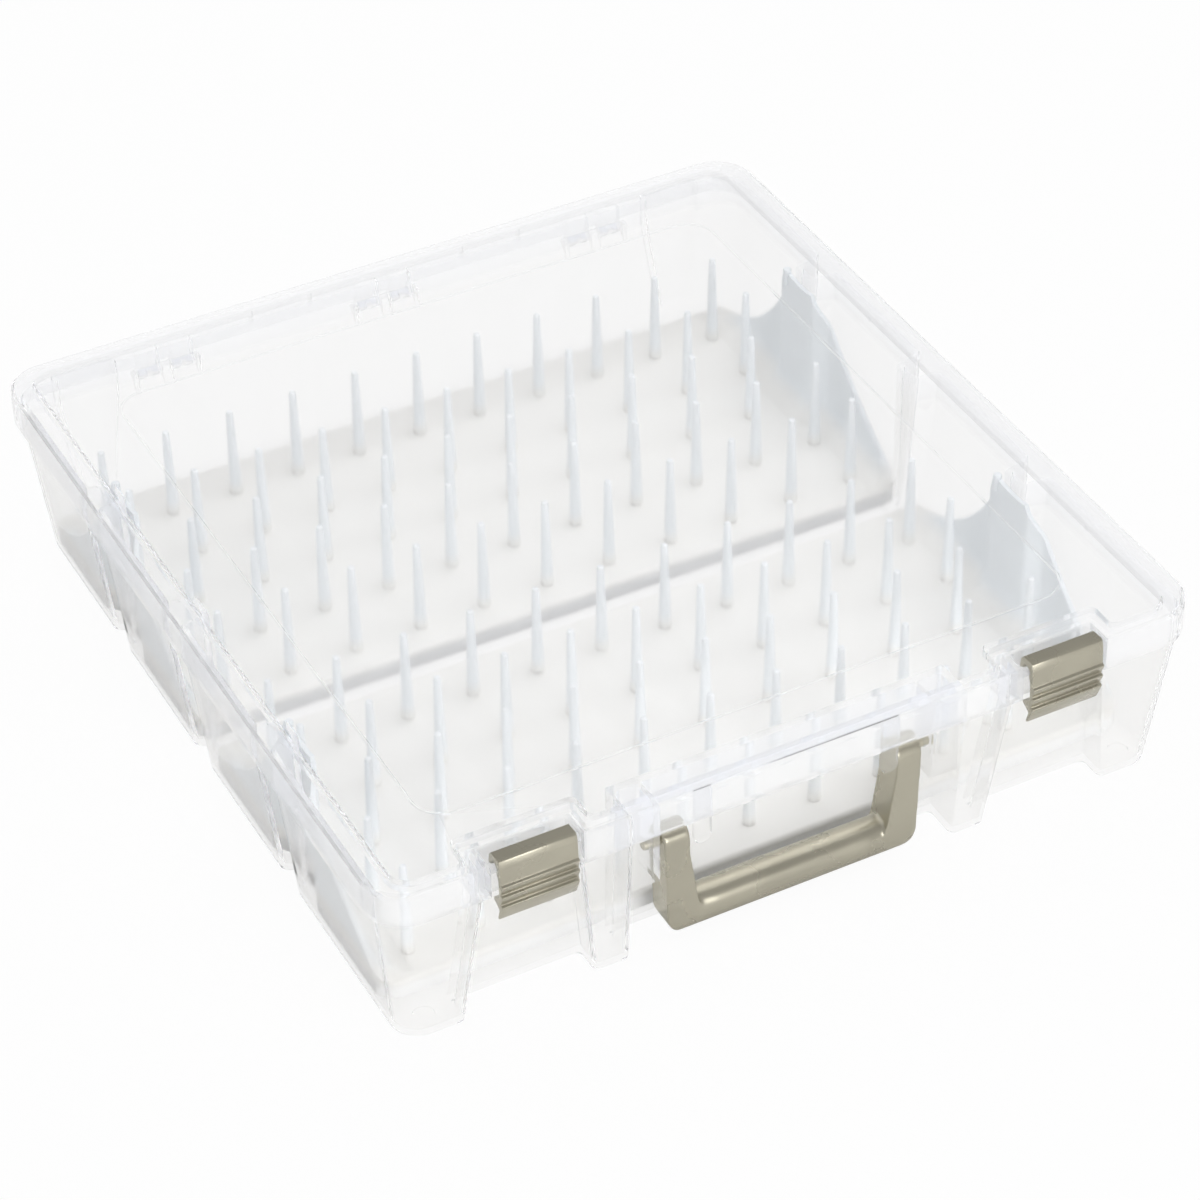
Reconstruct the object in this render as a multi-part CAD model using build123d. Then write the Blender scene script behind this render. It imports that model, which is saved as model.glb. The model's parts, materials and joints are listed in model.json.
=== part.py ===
from build123d import *
import math
import os

# Clear satchel box for thread spools, closed and standing on its foot at z = 0.
# +X runs to the right along the front, +Y to the back, +Z up, all in mm.

# Tray box, the lower half
FOOT_WIDTH = 346.6
FOOT_DEPTH = 368.5
SIDE_FLARE = 7.2
FRONT_FLARE = 6.0
BACK_FLARE = 2.0
SHOULDER_Z = 66.0
RIM_Z = 80.2
WALL = 2.0
FLOOR = 2.0
FOOT_RECESS = 1.5
FOOT_RING = 10.0
CORNER_R = 12.0
BEND_R = 3.0
FOOT_BEVEL = 1.5

# Handle bay in the middle of the front
BAY_HALF = FOOT_WIDTH * 0.2135
BAY_DEPTH = 16.5
BAY_GAIN = 2.5

# Latch bays beside the two front columns
LATCH_X = FOOT_WIDTH * 0.341
LATCH_BAY_DEPTH = 12.5
LATCH_BAY_FOOT_HALF = 28.2
LATCH_BAY_TOP_HALF = 20.5
LEDGE_THICK = 2.0
LEDGE_FRONT = 3.0

# Upright grooves in the side walls
GROOVE_MOUTH_HALF = 7.75
GROOVE_FLOOR_HALF = 5.0
GROOVE_DEPTH = 4.3
GROOVE_NEARER = 1.0
GROOVE_BACK_SHIFT = 0.75

# Outward bulges at the back corners
BULGE_FROM_SIDE = 26.3
BULGE_Z = 17.0
BULGE_FOOT_HALF = 8.5
BULGE_TOP_HALF = 15.0
BULGE_OUT = 3.8

# Lid
LID_GAP = 1.5
LID_WALL = 2.0
LID_CORNER_R = 18.4
LID_EDGE_R = 1.5
LID_TOP_Z = 85.5
SKIRT_HEIGHT = 15.9
RIM_PLATE = 1.8
PANEL = 1.7
PANEL_SINK = 3.5
RIM_WIDTH_X = 11.5
RIM_WIDTH_FRONT = 7.4
STEP_WALL = 1.2
PANEL_GAP = 0.8
PANEL_CORNER_R = 9.0
NOTCH_HALF = 19.2
NOTCH_DEPTH = 11.7
SWELL_HALF = 26.8
SWELL_DEPTH = 21.0
NOTCH_R = 3.0
STACK_INSET_X = 26.0
STACK_INSET_Y = 29.5
STACK_R = 14.0
STACK_WIDE = 1.0
STACK_HIGH = 0.5

# Hinge: rods on the tray box, hooks on the lid
HINGE_X = FOOT_WIDTH * 0.3116
HINGE_Z = 67.0
HINGE_FROM_EDGE = 3.4
HINGE_ROD_R = 1.5
HINGE_FIT = 0.08
HOOK_R = 3.4
HOOK_SIDES = 8
HOOK_WIDE = 10.0
HOOK_X = 8.2
HOOK_SLOT = 3.0
HOOK_ROOT_Z = 78.0
LUG_R = 2.1
LUG_THICK = 2.0
LUG_GAP = 0.9

# Front latches and the rods they turn on
LATCH_WIDE = 33.2
LATCH_ROD_Z = 82.0
LATCH_ROD_OUT = 8.8
LATCH_ROD_R = 2.2
LATCH_FIT = 0.08
LATCH_HOOK_R = 4.5
LATCH_PLATE = 2.2
LATCH_DROP = 30.0
LATCH_FACE_OUT = 3.0
LATCH_CATCH_GAP = 0.4
RIDGES = 3
RIDGE_TOP_Z = 75.7
RIDGE_PITCH = 5.6
RIDGE_HIGH = 0.9

# Carrying handle
HANDLE_HALF = 58.5
HANDLE_ARM = 11.5
HANDLE_THICK = 13.5
HANDLE_TAPER = 1.6
HANDLE_BOTTOM_Z = 3.0
GRIP_TOP_Z = 19.5
GRIP_END = 2.0
GRIP_CROWN = 1.0
GRIP_CORNER = 5.0
HANDLE_CORNER_R = 9.0
HANDLE_EDGE_R = 2.0
PIVOT_Z = 52.0
PIVOT_IN = 5.5
PIVOT_R = 2.4
PIVOT_FIT = 0.08
CHEEK_GAP = 3.0
CHEEK_THICK = 2.0
CHEEK_BOTTOM_Z = 38.5
ROOF_THICK = 2.0
TAB_FROM_ARM = 4.7
TAB_WIDE = 7.6
TAB_BOTTOM_Z = 50.0

# Thread trays
TRAY_GAP = 14.0
TRAY_END_GAP = 3.0
TRAY_SIDE_GAP = 0.7
TRAY_DECK_Z = 12.0
TRAY_WALL = 1.8
TRAY_CORNER_R = 8.0
END_PLATE = 2.0
END_HEIGHT_Z = 75.0
END_TOP_HALF = 12.0
END_FOOT_SHORT = 2.0
END_BACK_BEND = ((1.5, 0.68), (0.475, 0.12))
END_FRONT_BEND = ((1.8, 0.7), (0.61, 0.32))
JOG_HALF = 12.4
JOG_GAP = 0.6
COVE_R = 8.0
POST_R = 2.4
POST_RISE = 1.6
PIN_R = 2.4
PIN_TIP_R = 1.6
PIN_TALL = 44.5
PIN_TIP_BEVEL = 0.6
PIN_SIDES = 6
PIN_EDGE_X = 17.5
PIN_EDGE_Y = 18.5
PINS_LONG_ROW = 11
PIN_ROWS = 5
PIN_SHIFT_Y = -3.75

# Small moulded marks
NUB_R = 1.2
NUB_SIDES = 8
NUB_SIDE_YS = (61.0, -115.0)
NUB_SIDE_DROP = 8.4
NUB_OUT = 1.0
NUB_BACK_XS = (-67.0, -38.0, 38.0, 67.0)
FOOT_MARK_R = 4.5
FOOT_MARK_INSET = 12.6
FOOT_MARK_RISE = 0.8
NUB_CLEAR = 0.1

# Places that follow from the sizes above
FLOOR_TOP = FOOT_RECESS + FLOOR
HALF_X = FOOT_WIDTH / 2 + SIDE_FLARE
FRONT_Y = -(FOOT_DEPTH / 2 + FRONT_FLARE)
BACK_Y = FOOT_DEPTH / 2 + BACK_FLARE
BULGE_Y = BACK_Y + BULGE_OUT
LID_HALF_X = HALF_X + LID_GAP + LID_WALL
LID_FRONT_Y = FRONT_Y - LID_GAP - LID_WALL
LID_BACK_Y = BULGE_Y + LID_GAP + LID_WALL
LID_MID_Y = (LID_FRONT_Y + LID_BACK_Y) / 2
LID_DEPTH = LID_BACK_Y - LID_FRONT_Y
SKIRT_Z = LID_TOP_Z - SKIRT_HEIGHT
PANEL_Z = LID_TOP_Z - PANEL_SINK
PANEL_UNDER_Z = PANEL_Z - PANEL
SEAT_Z = PANEL_UNDER_Z - PANEL_GAP
HINGE_Y = LID_BACK_Y - HINGE_FROM_EDGE
BAY_BACK_Y = FRONT_Y + BAY_DEPTH + BAY_GAIN
LATCH_BAY_Y = FRONT_Y + LATCH_BAY_DEPTH
NOTCH_Y = LID_FRONT_Y + NOTCH_DEPTH
LATCH_Y = NOTCH_Y - LATCH_ROD_OUT
LATCH_FACE_Y = LID_FRONT_Y - LATCH_FACE_OUT
PIVOT_Y = FRONT_Y + PIVOT_IN + HANDLE_THICK / 2
CHEEK_X = HANDLE_HALF + CHEEK_GAP
TAB_X = HANDLE_HALF - HANDLE_ARM - TAB_FROM_ARM
GRIP_HALF = HANDLE_HALF - HANDLE_ARM - GRIP_END
BULGE_X = FOOT_WIDTH / 2 - BULGE_FROM_SIDE
ROOF_Z = SEAT_Z
TRAY_HALF_X = FOOT_WIDTH / 2 - WALL - TRAY_SIDE_GAP + SIDE_FLARE * FLOOR_TOP / SHOULDER_Z
TRAYS_FRONT_Y = -FOOT_DEPTH / 2 + BAY_DEPTH + WALL + TRAY_END_GAP
TRAYS_BACK_Y = FOOT_DEPTH / 2 - WALL - TRAY_END_GAP
TRAYS_MID_Y = (TRAYS_FRONT_Y + TRAYS_BACK_Y) / 2
TRAY_DEPTH = (TRAYS_BACK_Y - TRAYS_FRONT_Y - TRAY_GAP) / 2
TRAY_STEP = (TRAY_DEPTH + TRAY_GAP) / 2
END_FOOT_HALF = TRAY_DEPTH / 2 - END_FOOT_SHORT
PIN_PITCH_X = 2 * (TRAY_HALF_X - PIN_EDGE_X) / (PINS_LONG_ROW - 1)
PIN_PITCH_Y = (TRAY_DEPTH - 2 * PIN_EDGE_Y) / (PIN_ROWS - 1)
GROOVE_FLOOR_HALF_X = FOOT_WIDTH / 2 - GROOVE_DEPTH
JOG_X = GROOVE_FLOOR_HALF_X - WALL - JOG_GAP
SIDES = (-1, 1)
HINGE_XS = (-HINGE_X, 0.0, HINGE_X)
GROOVE_YS = tuple(TRAYS_MID_Y + GROOVE_BACK_SHIFT + i * (TRAY_STEP - GROOVE_NEARER) for i in (-1, 0, 1))


def block(x0, x1, y0, y1, z0, z1):
    """Box between two corners."""
    size = (x1 - x0, y1 - y0, z1 - z0)
    return Pos((x0 + x1) / 2, (y0 + y1) / 2, (z0 + z1) / 2) * Box(*size)


def flat(x0, x1, y0, y1):
    """Rectangle in the XY plane between two corners."""
    return Pos((x0 + x1) / 2, (y0 + y1) / 2) * Rectangle(x1 - x0, y1 - y0)


def along_x(profile, x0, x1):
    """Extrude a profile drawn as (y, z) from x0 to x1."""
    return extrude(Plane.YZ.offset(x0) * profile, x1 - x0)


def rod_x(radius, y, z, x0, x1):
    """Round rod along X."""
    return along_x(Pos(y, z) * Circle(radius), x0, x1)


def groove_cut(side, y, wall_x, inset):
    """Plan of one side-wall groove that opens at wall_x, grown by the wall inset."""
    floor_x = GROOVE_FLOOR_HALF_X - inset
    floor_half = GROOVE_FLOOR_HALF + inset / 2
    past_x = 2 * wall_x - floor_x
    past_half = 2 * GROOVE_MOUTH_HALF - GROOVE_FLOOR_HALF + inset / 2
    corners = [(floor_x, floor_half), (past_x, past_half), (past_x, -past_half), (floor_x, -floor_half)]
    return make_face(Polyline(*[(side * x, y + t) for x, t in corners], close=True))


def tub_section(level, inset, latch_half):
    """Plan of the tray box at level 0 (foot) to 1 (shoulder), moved inward by inset."""
    half_x = FOOT_WIDTH / 2 + level * SIDE_FLARE - inset
    front = -(FOOT_DEPTH / 2 + level * FRONT_FLARE) + inset
    back = FOOT_DEPTH / 2 + level * BACK_FLARE - inset
    corner = CORNER_R - inset
    plan = Pos(0, (front + back) / 2) * RectangleRounded(2 * half_x, back - front, corner)
    far = LID_FRONT_Y - LID_WALL
    bay_back = front + BAY_DEPTH + level * BAY_GAIN
    cuts = [flat(-BAY_HALF - inset, BAY_HALF + inset, far, bay_back)]
    half = latch_half + inset
    for side in SIDES:
        x = side * LATCH_X
        cuts.append(flat(x - half, x + half, far, front + LATCH_BAY_DEPTH))
        cuts += [groove_cut(side, y, half_x, inset) for y in GROOVE_YS]
    plan = plan - cuts
    if inset > 0 and level > 0:
        return plan
    bends = [
        v
        for v in plan.vertices()
        if abs(v.X) < half_x - corner - 0.5 or front + corner + 0.5 < v.Y < back - corner - 0.5
    ]
    return fillet(bends, BEND_R)


def tub_form(inset, bottom_z, top_z):
    """Solid envelope of the tray box, moved inward by inset."""
    level = bottom_z / SHOULDER_Z
    spread = LATCH_BAY_TOP_HALF - LATCH_BAY_FOOT_HALF
    low = tub_section(level, inset, LATCH_BAY_FOOT_HALF + level * spread)
    shoulder = tub_section(1, inset, LATCH_BAY_TOP_HALF)
    form = loft([Pos(0, 0, bottom_z) * low, Pos(0, 0, SHOULDER_Z) * shoulder], ruled=True)
    rim = tub_section(1, inset, NOTCH_HALF + LID_WALL + LID_GAP / 2)
    form += extrude(Pos(0, 0, SHOULDER_Z) * rim, top_z - SHOULDER_Z)
    return form


def bevelled_foot():
    """Lowest band of the tray box, bevelled in under the walls."""
    level = FOOT_BEVEL / SHOULDER_Z
    half = LATCH_BAY_FOOT_HALF + level * (LATCH_BAY_TOP_HALF - LATCH_BAY_FOOT_HALF)
    low = tub_section(0, FOOT_BEVEL, LATCH_BAY_FOOT_HALF)
    high = Pos(0, 0, FOOT_BEVEL) * tub_section(level, 0, half)
    return loft([low, high], ruled=True)


def bulge(side, inset, top_z):
    """Outward bulge of the back wall under one lid corner."""
    foot_y = BULGE_Y - BACK_FLARE

    def plan(half, out_y):
        depth = out_y - inset - (BACK_Y - 4 * WALL)
        shape = Rectangle(2 * (half - inset), depth)
        outer = [v for v in shape.vertices() if v.Y > 0]
        shape = fillet(outer, BEND_R - inset / 2)
        return Pos(side * BULGE_X, out_y - inset - depth / 2) * shape

    low = Pos(0, 0, BULGE_Z + inset) * plan(BULGE_FOOT_HALF, foot_y)
    high = Pos(0, 0, SHOULDER_Z) * plan(BULGE_TOP_HALF, BULGE_Y)
    return loft([low, high], ruled=True) + extrude(high, top_z - SHOULDER_Z)


def panel_plan(grow):
    """Plan of the sunk lid panel with its two swells round the latches, grown outward."""
    half_x = LID_HALF_X - RIM_WIDTH_X + grow
    half_y = LID_DEPTH / 2 - RIM_WIDTH_FRONT + grow
    plan = Pos(0, LID_MID_Y) * RectangleRounded(2 * half_x, 2 * half_y, PANEL_CORNER_R + grow)
    swell_y = LID_FRONT_Y + SWELL_DEPTH - grow
    half = SWELL_HALF - grow
    for side in SIDES:
        plan -= flat(side * LATCH_X - half, side * LATCH_X + half, LID_FRONT_Y, swell_y)
    bends = [v for v in plan.vertices() if abs(v.X) < LATCH_X + SWELL_HALF + 1 and v.Y < 0]
    return fillet(bends, NOTCH_R)


def lid_plan(inset):
    """Plan of the lid skirt with its latch notches, moved inward by inset."""
    size = (2 * (LID_HALF_X - inset), LID_DEPTH - 2 * inset)
    plan = Pos(0, LID_MID_Y) * RectangleRounded(*size, LID_CORNER_R - inset)
    half = NOTCH_HALF + inset
    for side in SIDES:
        x = side * LATCH_X
        plan -= flat(x - half, x + half, LID_FRONT_Y - 1, NOTCH_Y + inset)
    return plan


def floor_marks():
    """Round foot marks standing on the floor in the corners."""
    x = FOOT_WIDTH / 2 - FOOT_MARK_INSET
    y = FOOT_DEPTH / 2 - FOOT_MARK_INSET / 2 - FOOT_MARK_R / 2
    marks = []
    for side in SIDES:
        mark = Cylinder(FOOT_MARK_R, FOOT_MARK_RISE + FLOOR)
        marks.append(Pos(side * x, -y, FOOT_RECESS + (FOOT_MARK_RISE + FLOOR) / 2) * mark)
    return marks


def handle_mount():
    """Roof, cheeks and hanging tabs that carry the handle in its bay."""
    back_y = BAY_BACK_Y + WALL / 2
    lip_y = FRONT_Y + WALL
    face_y = FRONT_Y + CHEEK_THICK * 2
    roof = block(-BAY_HALF - WALL, BAY_HALF + WALL, FRONT_Y, back_y, ROOF_Z - ROOF_THICK, ROOF_Z)
    lip = block(-BAY_HALF - WALL, BAY_HALF + WALL, FRONT_Y, lip_y, SKIRT_Z - LID_WALL, RIM_Z)
    mount = roof + lip
    for side in SIDES:
        inner = side * CHEEK_X
        outer = side * (BAY_HALF + WALL / 2)
        deep = side * (CHEEK_X + CHEEK_THICK)
        side_z = (CHEEK_BOTTOM_Z, ROOF_Z - ROOF_THICK / 2)
        cheek = block(min(inner, deep), max(inner, deep), face_y, back_y, *side_z)
        front = block(min(inner, outer), max(inner, outer), face_y, face_y + CHEEK_THICK, *side_z)
        corner = front.edges().filter_by(Axis.Y).group_by(Axis.Z)[0]
        inner_corner = corner.sort_by(Axis.X)[0 if side > 0 else -1]
        mount += cheek + fillet(inner_corner, BEND_R)
        tab = block(0, TAB_WIDE, face_y, face_y + CHEEK_THICK, TAB_BOTTOM_Z, ROOF_Z - 1)
        tab = fillet(tab.edges().filter_by(Axis.Y).group_by(Axis.Z)[0], TAB_WIDE * 0.45)
        mount += Pos(side * TAB_X - TAB_WIDE / 2, 0, 0) * tab
    return mount


def pivot_holes():
    """Bores for the two handle pins."""
    radius = PIVOT_R + PIVOT_FIT
    reach = CHEEK_X + CHEEK_THICK + 1
    holes = []
    for side in SIDES:
        x0, x1 = sorted((side * (CHEEK_X - 1), side * reach))
        holes.append(rod_x(radius, PIVOT_Y, PIVOT_Z, x0, x1))
    return holes


def hinge_stand(x):
    """Three lugs and the rod of one hinge."""
    inner = HOOK_X - HOOK_WIDE / 2 - LUG_GAP
    outer = HOOK_X + HOOK_WIDE / 2 + LUG_GAP
    wall_y = BACK_Y - WALL / 2
    profile = make_face(
        Polyline(
            (wall_y, HINGE_Z + LUG_R),
            (HINGE_Y, HINGE_Z + LUG_R),
            (HINGE_Y + LUG_R, HINGE_Z),
            (HINGE_Y, HINGE_Z - LUG_R),
            (wall_y, HINGE_Z - 4 * LUG_R),
            close=True,
        )
    )
    lugs = [(-outer - LUG_THICK, -outer), (-inner, inner), (outer, outer + LUG_THICK)]
    stand = rod_x(HINGE_ROD_R, HINGE_Y, HINGE_Z, x - outer - 1, x + outer + 1)
    for x0, x1 in lugs:
        stand += along_x(profile, x + x0, x + x1)
    return stand


def make_base():
    """Lower half of the box, one clear moulding."""
    base = tub_form(0, FOOT_BEVEL, RIM_Z) + bevelled_foot()
    for side in SIDES:
        base += bulge(side, 0, RIM_Z)
    base -= tub_form(WALL, FLOOR_TOP, RIM_Z + 1)
    for side in SIDES:
        base -= bulge(side, WALL, RIM_Z + 1)
    recess_x = FOOT_WIDTH / 2 - FOOT_RING
    recess_y = (-FOOT_DEPTH / 2 + BAY_DEPTH + FOOT_RING, FOOT_DEPTH / 2 - FOOT_RING)
    recess = flat(-recess_x, recess_x, *recess_y)
    base -= extrude(fillet(recess.vertices(), CORNER_R), FOOT_RECESS)
    base += handle_mount()
    base -= extrude(Pos(0, 0, SEAT_Z) * panel_plan(STEP_WALL + PANEL_GAP), RIM_Z)
    base -= pivot_holes()
    ledge_y = FRONT_Y + LEDGE_FRONT
    for side in SIDES:
        x = side * LATCH_X
        half = LATCH_BAY_TOP_HALF + WALL / 2
        top = SHOULDER_Z + LEDGE_THICK
        base += block(x - half, x + half, ledge_y, LATCH_BAY_Y + WALL / 2, SHOULDER_Z, top)
        for y in NUB_SIDE_YS:
            nub = Pos(y, RIM_Z - NUB_SIDE_DROP) * RegularPolygon(NUB_R, NUB_SIDES)
            base += along_x(nub, side * HALF_X - NUB_OUT, side * HALF_X + NUB_OUT)
    for x in HINGE_XS:
        base += hinge_stand(x)
    return base + floor_marks()


def hook_profile():
    """Side view of a hinge hook as (y, z)."""
    face_y = LID_BACK_Y
    ring = Pos(HINGE_Y, HINGE_Z) * RegularPolygon(HOOK_R, HOOK_SIDES)
    web_y = HINGE_Y - HOOK_R + 1
    web = flat(web_y, face_y, HINGE_Z, HOOK_ROOT_Z)
    bore = Pos(HINGE_Y, HINGE_Z) * Circle(HINGE_ROD_R + HINGE_FIT)
    mouth = flat(-HOOK_R - 1, 0, -HINGE_ROD_R * 0.8, HINGE_ROD_R * 0.8)
    mouth = Pos(HINGE_Y, HINGE_Z) * (Rot(0, 0, 45) * mouth)
    return ring + web - bore - mouth


def make_hooks():
    """Six forked hooks that clip the lid to the hinge rods."""
    hooks = []
    profile = hook_profile()
    slot_top = HINGE_Z + HINGE_ROD_R + HINGE_FIT
    for x in HINGE_XS:
        for side in SIDES:
            mid = x + side * HOOK_X
            hook = along_x(profile, mid - HOOK_WIDE / 2, mid + HOOK_WIDE / 2)
            slot = (mid - HOOK_SLOT / 2, mid + HOOK_SLOT / 2)
            hook -= block(*slot, HINGE_Y - 2 * HOOK_R, HINGE_Y, HINGE_Z - 2 * HOOK_R, slot_top)
            hooks.append(hook)
    return hooks


def make_lid():
    """Clear lid: skirt, raised rim, sunk panel, latch rods, hinge hooks."""
    lid = extrude(Pos(0, 0, SKIRT_Z) * lid_plan(0), SKIRT_HEIGHT)
    lid = fillet(lid.edges().group_by(Axis.Z)[-1], LID_EDGE_R)
    lid -= extrude(Pos(0, 0, SKIRT_Z) * lid_plan(LID_WALL), SKIRT_HEIGHT - RIM_PLATE)
    lid += extrude(Pos(0, 0, PANEL_UNDER_Z) * panel_plan(STEP_WALL), LID_TOP_Z - PANEL_UNDER_Z)
    lid -= extrude(Pos(0, 0, PANEL_Z) * panel_plan(0), PANEL_SINK)
    outer_x = LID_HALF_X - RIM_WIDTH_X - STACK_INSET_X
    outer_y = LID_DEPTH / 2 - RIM_WIDTH_FRONT - STACK_INSET_Y
    ring = RectangleRounded(2 * outer_x, 2 * outer_y, STACK_R)
    slim = 2 * STACK_WIDE
    ring -= RectangleRounded(2 * outer_x - slim, 2 * outer_y - slim, STACK_R - STACK_WIDE)
    lid += extrude(Pos(0, LID_MID_Y, PANEL_Z) * ring, STACK_HIGH)
    for side in SIDES:
        x = side * LATCH_X
        reach = NOTCH_HALF + LID_WALL / 2
        lid += rod_x(LATCH_ROD_R, LATCH_Y, LATCH_ROD_Z, x - reach, x + reach)
    for hook in make_hooks():
        lid += hook
    nub_y = BACK_Y - WALL / 2
    nub_z = SEAT_Z + NUB_CLEAR
    for x in NUB_BACK_XS:
        nub = Pos(x, nub_y, nub_z) * RegularPolygon(NUB_R, NUB_SIDES)
        lid += extrude(nub, LID_TOP_Z - RIM_PLATE / 2 - nub_z)
    return lid


def latch_profile():
    """Side view of a latch as (y, z): hook, drawn-in plate, ridges and catch tooth."""
    ring = Pos(LATCH_Y, LATCH_ROD_Z) * Circle(LATCH_HOOK_R)
    face = LATCH_FACE_Y
    bottom_z = LATCH_ROD_Z - LATCH_DROP + LATCH_HOOK_R / 2
    knee_z = LATCH_ROD_Z - LATCH_DROP * 0.55
    tip_y = LATCH_Y + LATCH_HOOK_R - LATCH_PLATE
    plate = make_face(
        Polyline(
            (LATCH_Y - LATCH_HOOK_R * 0.6, LATCH_ROD_Z + LATCH_HOOK_R * 0.8),
            (face, LATCH_ROD_Z),
            (face + 0.5, knee_z),
            (face + 2.5, bottom_z + 6),
            (tip_y - 1.5, bottom_z),
            (tip_y, bottom_z),
            (face + 2.7 + LATCH_PLATE, knee_z - 5),
            (face + LATCH_PLATE + 0.5, knee_z + 3),
            (face + LATCH_PLATE, LATCH_ROD_Z - LATCH_HOOK_R),
            (LATCH_Y, LATCH_ROD_Z - LATCH_HOOK_R * 0.7),
            close=True,
        )
    )
    bore = Pos(LATCH_Y, LATCH_ROD_Z) * Circle(LATCH_ROD_R + LATCH_FIT)
    mouth = flat(0, LATCH_HOOK_R + 1, -LATCH_ROD_R * 0.8, LATCH_ROD_R * 0.8)
    mouth = Pos(LATCH_Y, LATCH_ROD_Z) * (Rot(0, 0, -50) * mouth)
    return ring + plate - bore - mouth


def catch_tooth():
    """Tooth behind the latch, below the ledge and just in front of it, as (y, z)."""
    tip_y = FRONT_Y + LEDGE_FRONT - LATCH_CATCH_GAP
    tip_z = SHOULDER_Z - LEDGE_THICK
    root_y = LATCH_FACE_Y + LATCH_PLATE
    corners = [(root_y, tip_z + 3), (tip_y, tip_z), (tip_y, tip_z - 1), (root_y, tip_z - 2.5)]
    return make_face(Polyline(*corners, close=True))


def make_latch(side):
    """Front latch that turns on its lid rod."""
    x = side * LATCH_X
    x0, x1 = x - LATCH_WIDE / 2, x + LATCH_WIDE / 2
    profile = latch_profile() + catch_tooth()
    for i in range(RIDGES):
        z = RIDGE_TOP_Z - i * RIDGE_PITCH
        y = LATCH_FACE_Y + 0.5 * i
        wedge = [(y - RIDGE_HIGH, z), (y + 1.2, z + 0.6), (y + 1.2, z - 4), (y, z - 4)]
        profile += make_face(Polyline(*wedge, close=True))
    return along_x(profile, x0, x1)


def make_handle():
    """Carrying handle with its two pivot pins in one piece."""
    top_z = PIVOT_Z + HANDLE_THICK / 2
    low_half = HANDLE_HALF - HANDLE_TAPER
    outline = Polyline(
        (-HANDLE_HALF, top_z),
        (-low_half, HANDLE_BOTTOM_Z),
        (low_half, HANDLE_BOTTOM_Z),
        (HANDLE_HALF, top_z),
        close=True,
    )
    outline = make_face(outline)
    outline = fillet(outline.vertices().group_by(Axis.Y)[0], HANDLE_CORNER_R)
    inner_top = HANDLE_HALF - HANDLE_ARM
    window = Polyline(
        (-inner_top, top_z + 1),
        (-inner_top, PIVOT_Z - HANDLE_THICK / 2),
        (-inner_top + GRIP_CORNER, GRIP_TOP_Z),
        (inner_top - GRIP_CORNER, GRIP_TOP_Z),
        (inner_top, PIVOT_Z - HANDLE_THICK / 2),
        (inner_top, top_z + 1),
        close=True,
    )
    window = make_face(window)
    window = fillet(window.vertices().group_by(Axis.Y)[0], GRIP_CORNER)
    crown = flat(-GRIP_HALF, GRIP_HALF, HANDLE_BOTTOM_Z, GRIP_TOP_Z)
    y0 = PIVOT_Y - HANDLE_THICK / 2
    body = extrude(Plane.XZ.offset(-y0) * (outline - window), -HANDLE_THICK)
    side_view = Pos(PIVOT_Y, PIVOT_Z) * Circle(HANDLE_THICK / 2)
    side_view += flat(y0, y0 + HANDLE_THICK, HANDLE_BOTTOM_Z, PIVOT_Z)
    lower = side_view.vertices().group_by(Axis.Y)[0]
    side_view = fillet(lower, HANDLE_EDGE_R * 2)
    body &= along_x(side_view, -HANDLE_HALF, HANDLE_HALF)
    grip = extrude(Plane.XZ.offset(-y0 + GRIP_CROWN) * crown, -HANDLE_THICK - 2 * GRIP_CROWN)
    grip = fillet(grip.edges().filter_by(Axis.X), HANDLE_EDGE_R * 2)
    ends = grip.edges().group_by(Axis.X)
    body += chamfer(ends[0] + ends[-1], GRIP_CROWN * 0.8)
    reach = CHEEK_X + CHEEK_THICK + 2
    for side in SIDES:
        x0, x1 = sorted((side * (HANDLE_HALF - HANDLE_ARM / 2), side * reach))
        body += rod_x(PIVOT_R, PIVOT_Y, PIVOT_Z, x0, x1)
    return body


def end_plate_view(mid_y):
    """Side view of a tray end wall as (y, z): peaked, and fuller towards the front.

    Each slope bends by two points, as shares of the top or foot and of the height.
    """
    lean = END_HEIGHT_Z - TRAY_DECK_Z

    def slope(end, bend):
        (top_share, high), (foot_share, low) = bend
        return Bezier(
            (end * END_TOP_HALF, END_HEIGHT_Z),
            (end * END_TOP_HALF * top_share, TRAY_DECK_Z + lean * high),
            (end * END_FOOT_HALF * foot_share, TRAY_DECK_Z + lean * low),
            (end * END_FOOT_HALF, TRAY_DECK_Z),
        )

    edges = [
        slope(1, END_BACK_BEND),
        slope(-1, END_FRONT_BEND),
        Line((-END_TOP_HALF, END_HEIGHT_Z), (END_TOP_HALF, END_HEIGHT_Z)),
        Line((-END_FOOT_HALF, TRAY_DECK_Z), (END_FOOT_HALF, TRAY_DECK_Z)),
    ]
    return Pos(mid_y, 0) * make_face(Wire(edges))


def end_plate_plan(mid_y):
    """Plan of a right-hand tray end wall that steps in round the wall groove."""
    outer = TRAY_HALF_X
    strip = flat(outer - END_PLATE, outer, -END_FOOT_HALF, END_FOOT_HALF)
    strip -= flat(outer - END_PLATE, outer, -JOG_HALF, JOG_HALF)
    jog = flat(JOG_X - END_PLATE, outer, -JOG_HALF - END_PLATE, JOG_HALF + END_PLATE)
    jog -= flat(JOG_X, outer, -JOG_HALF, JOG_HALF)
    return Pos(0, mid_y) * (strip + jog)


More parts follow.
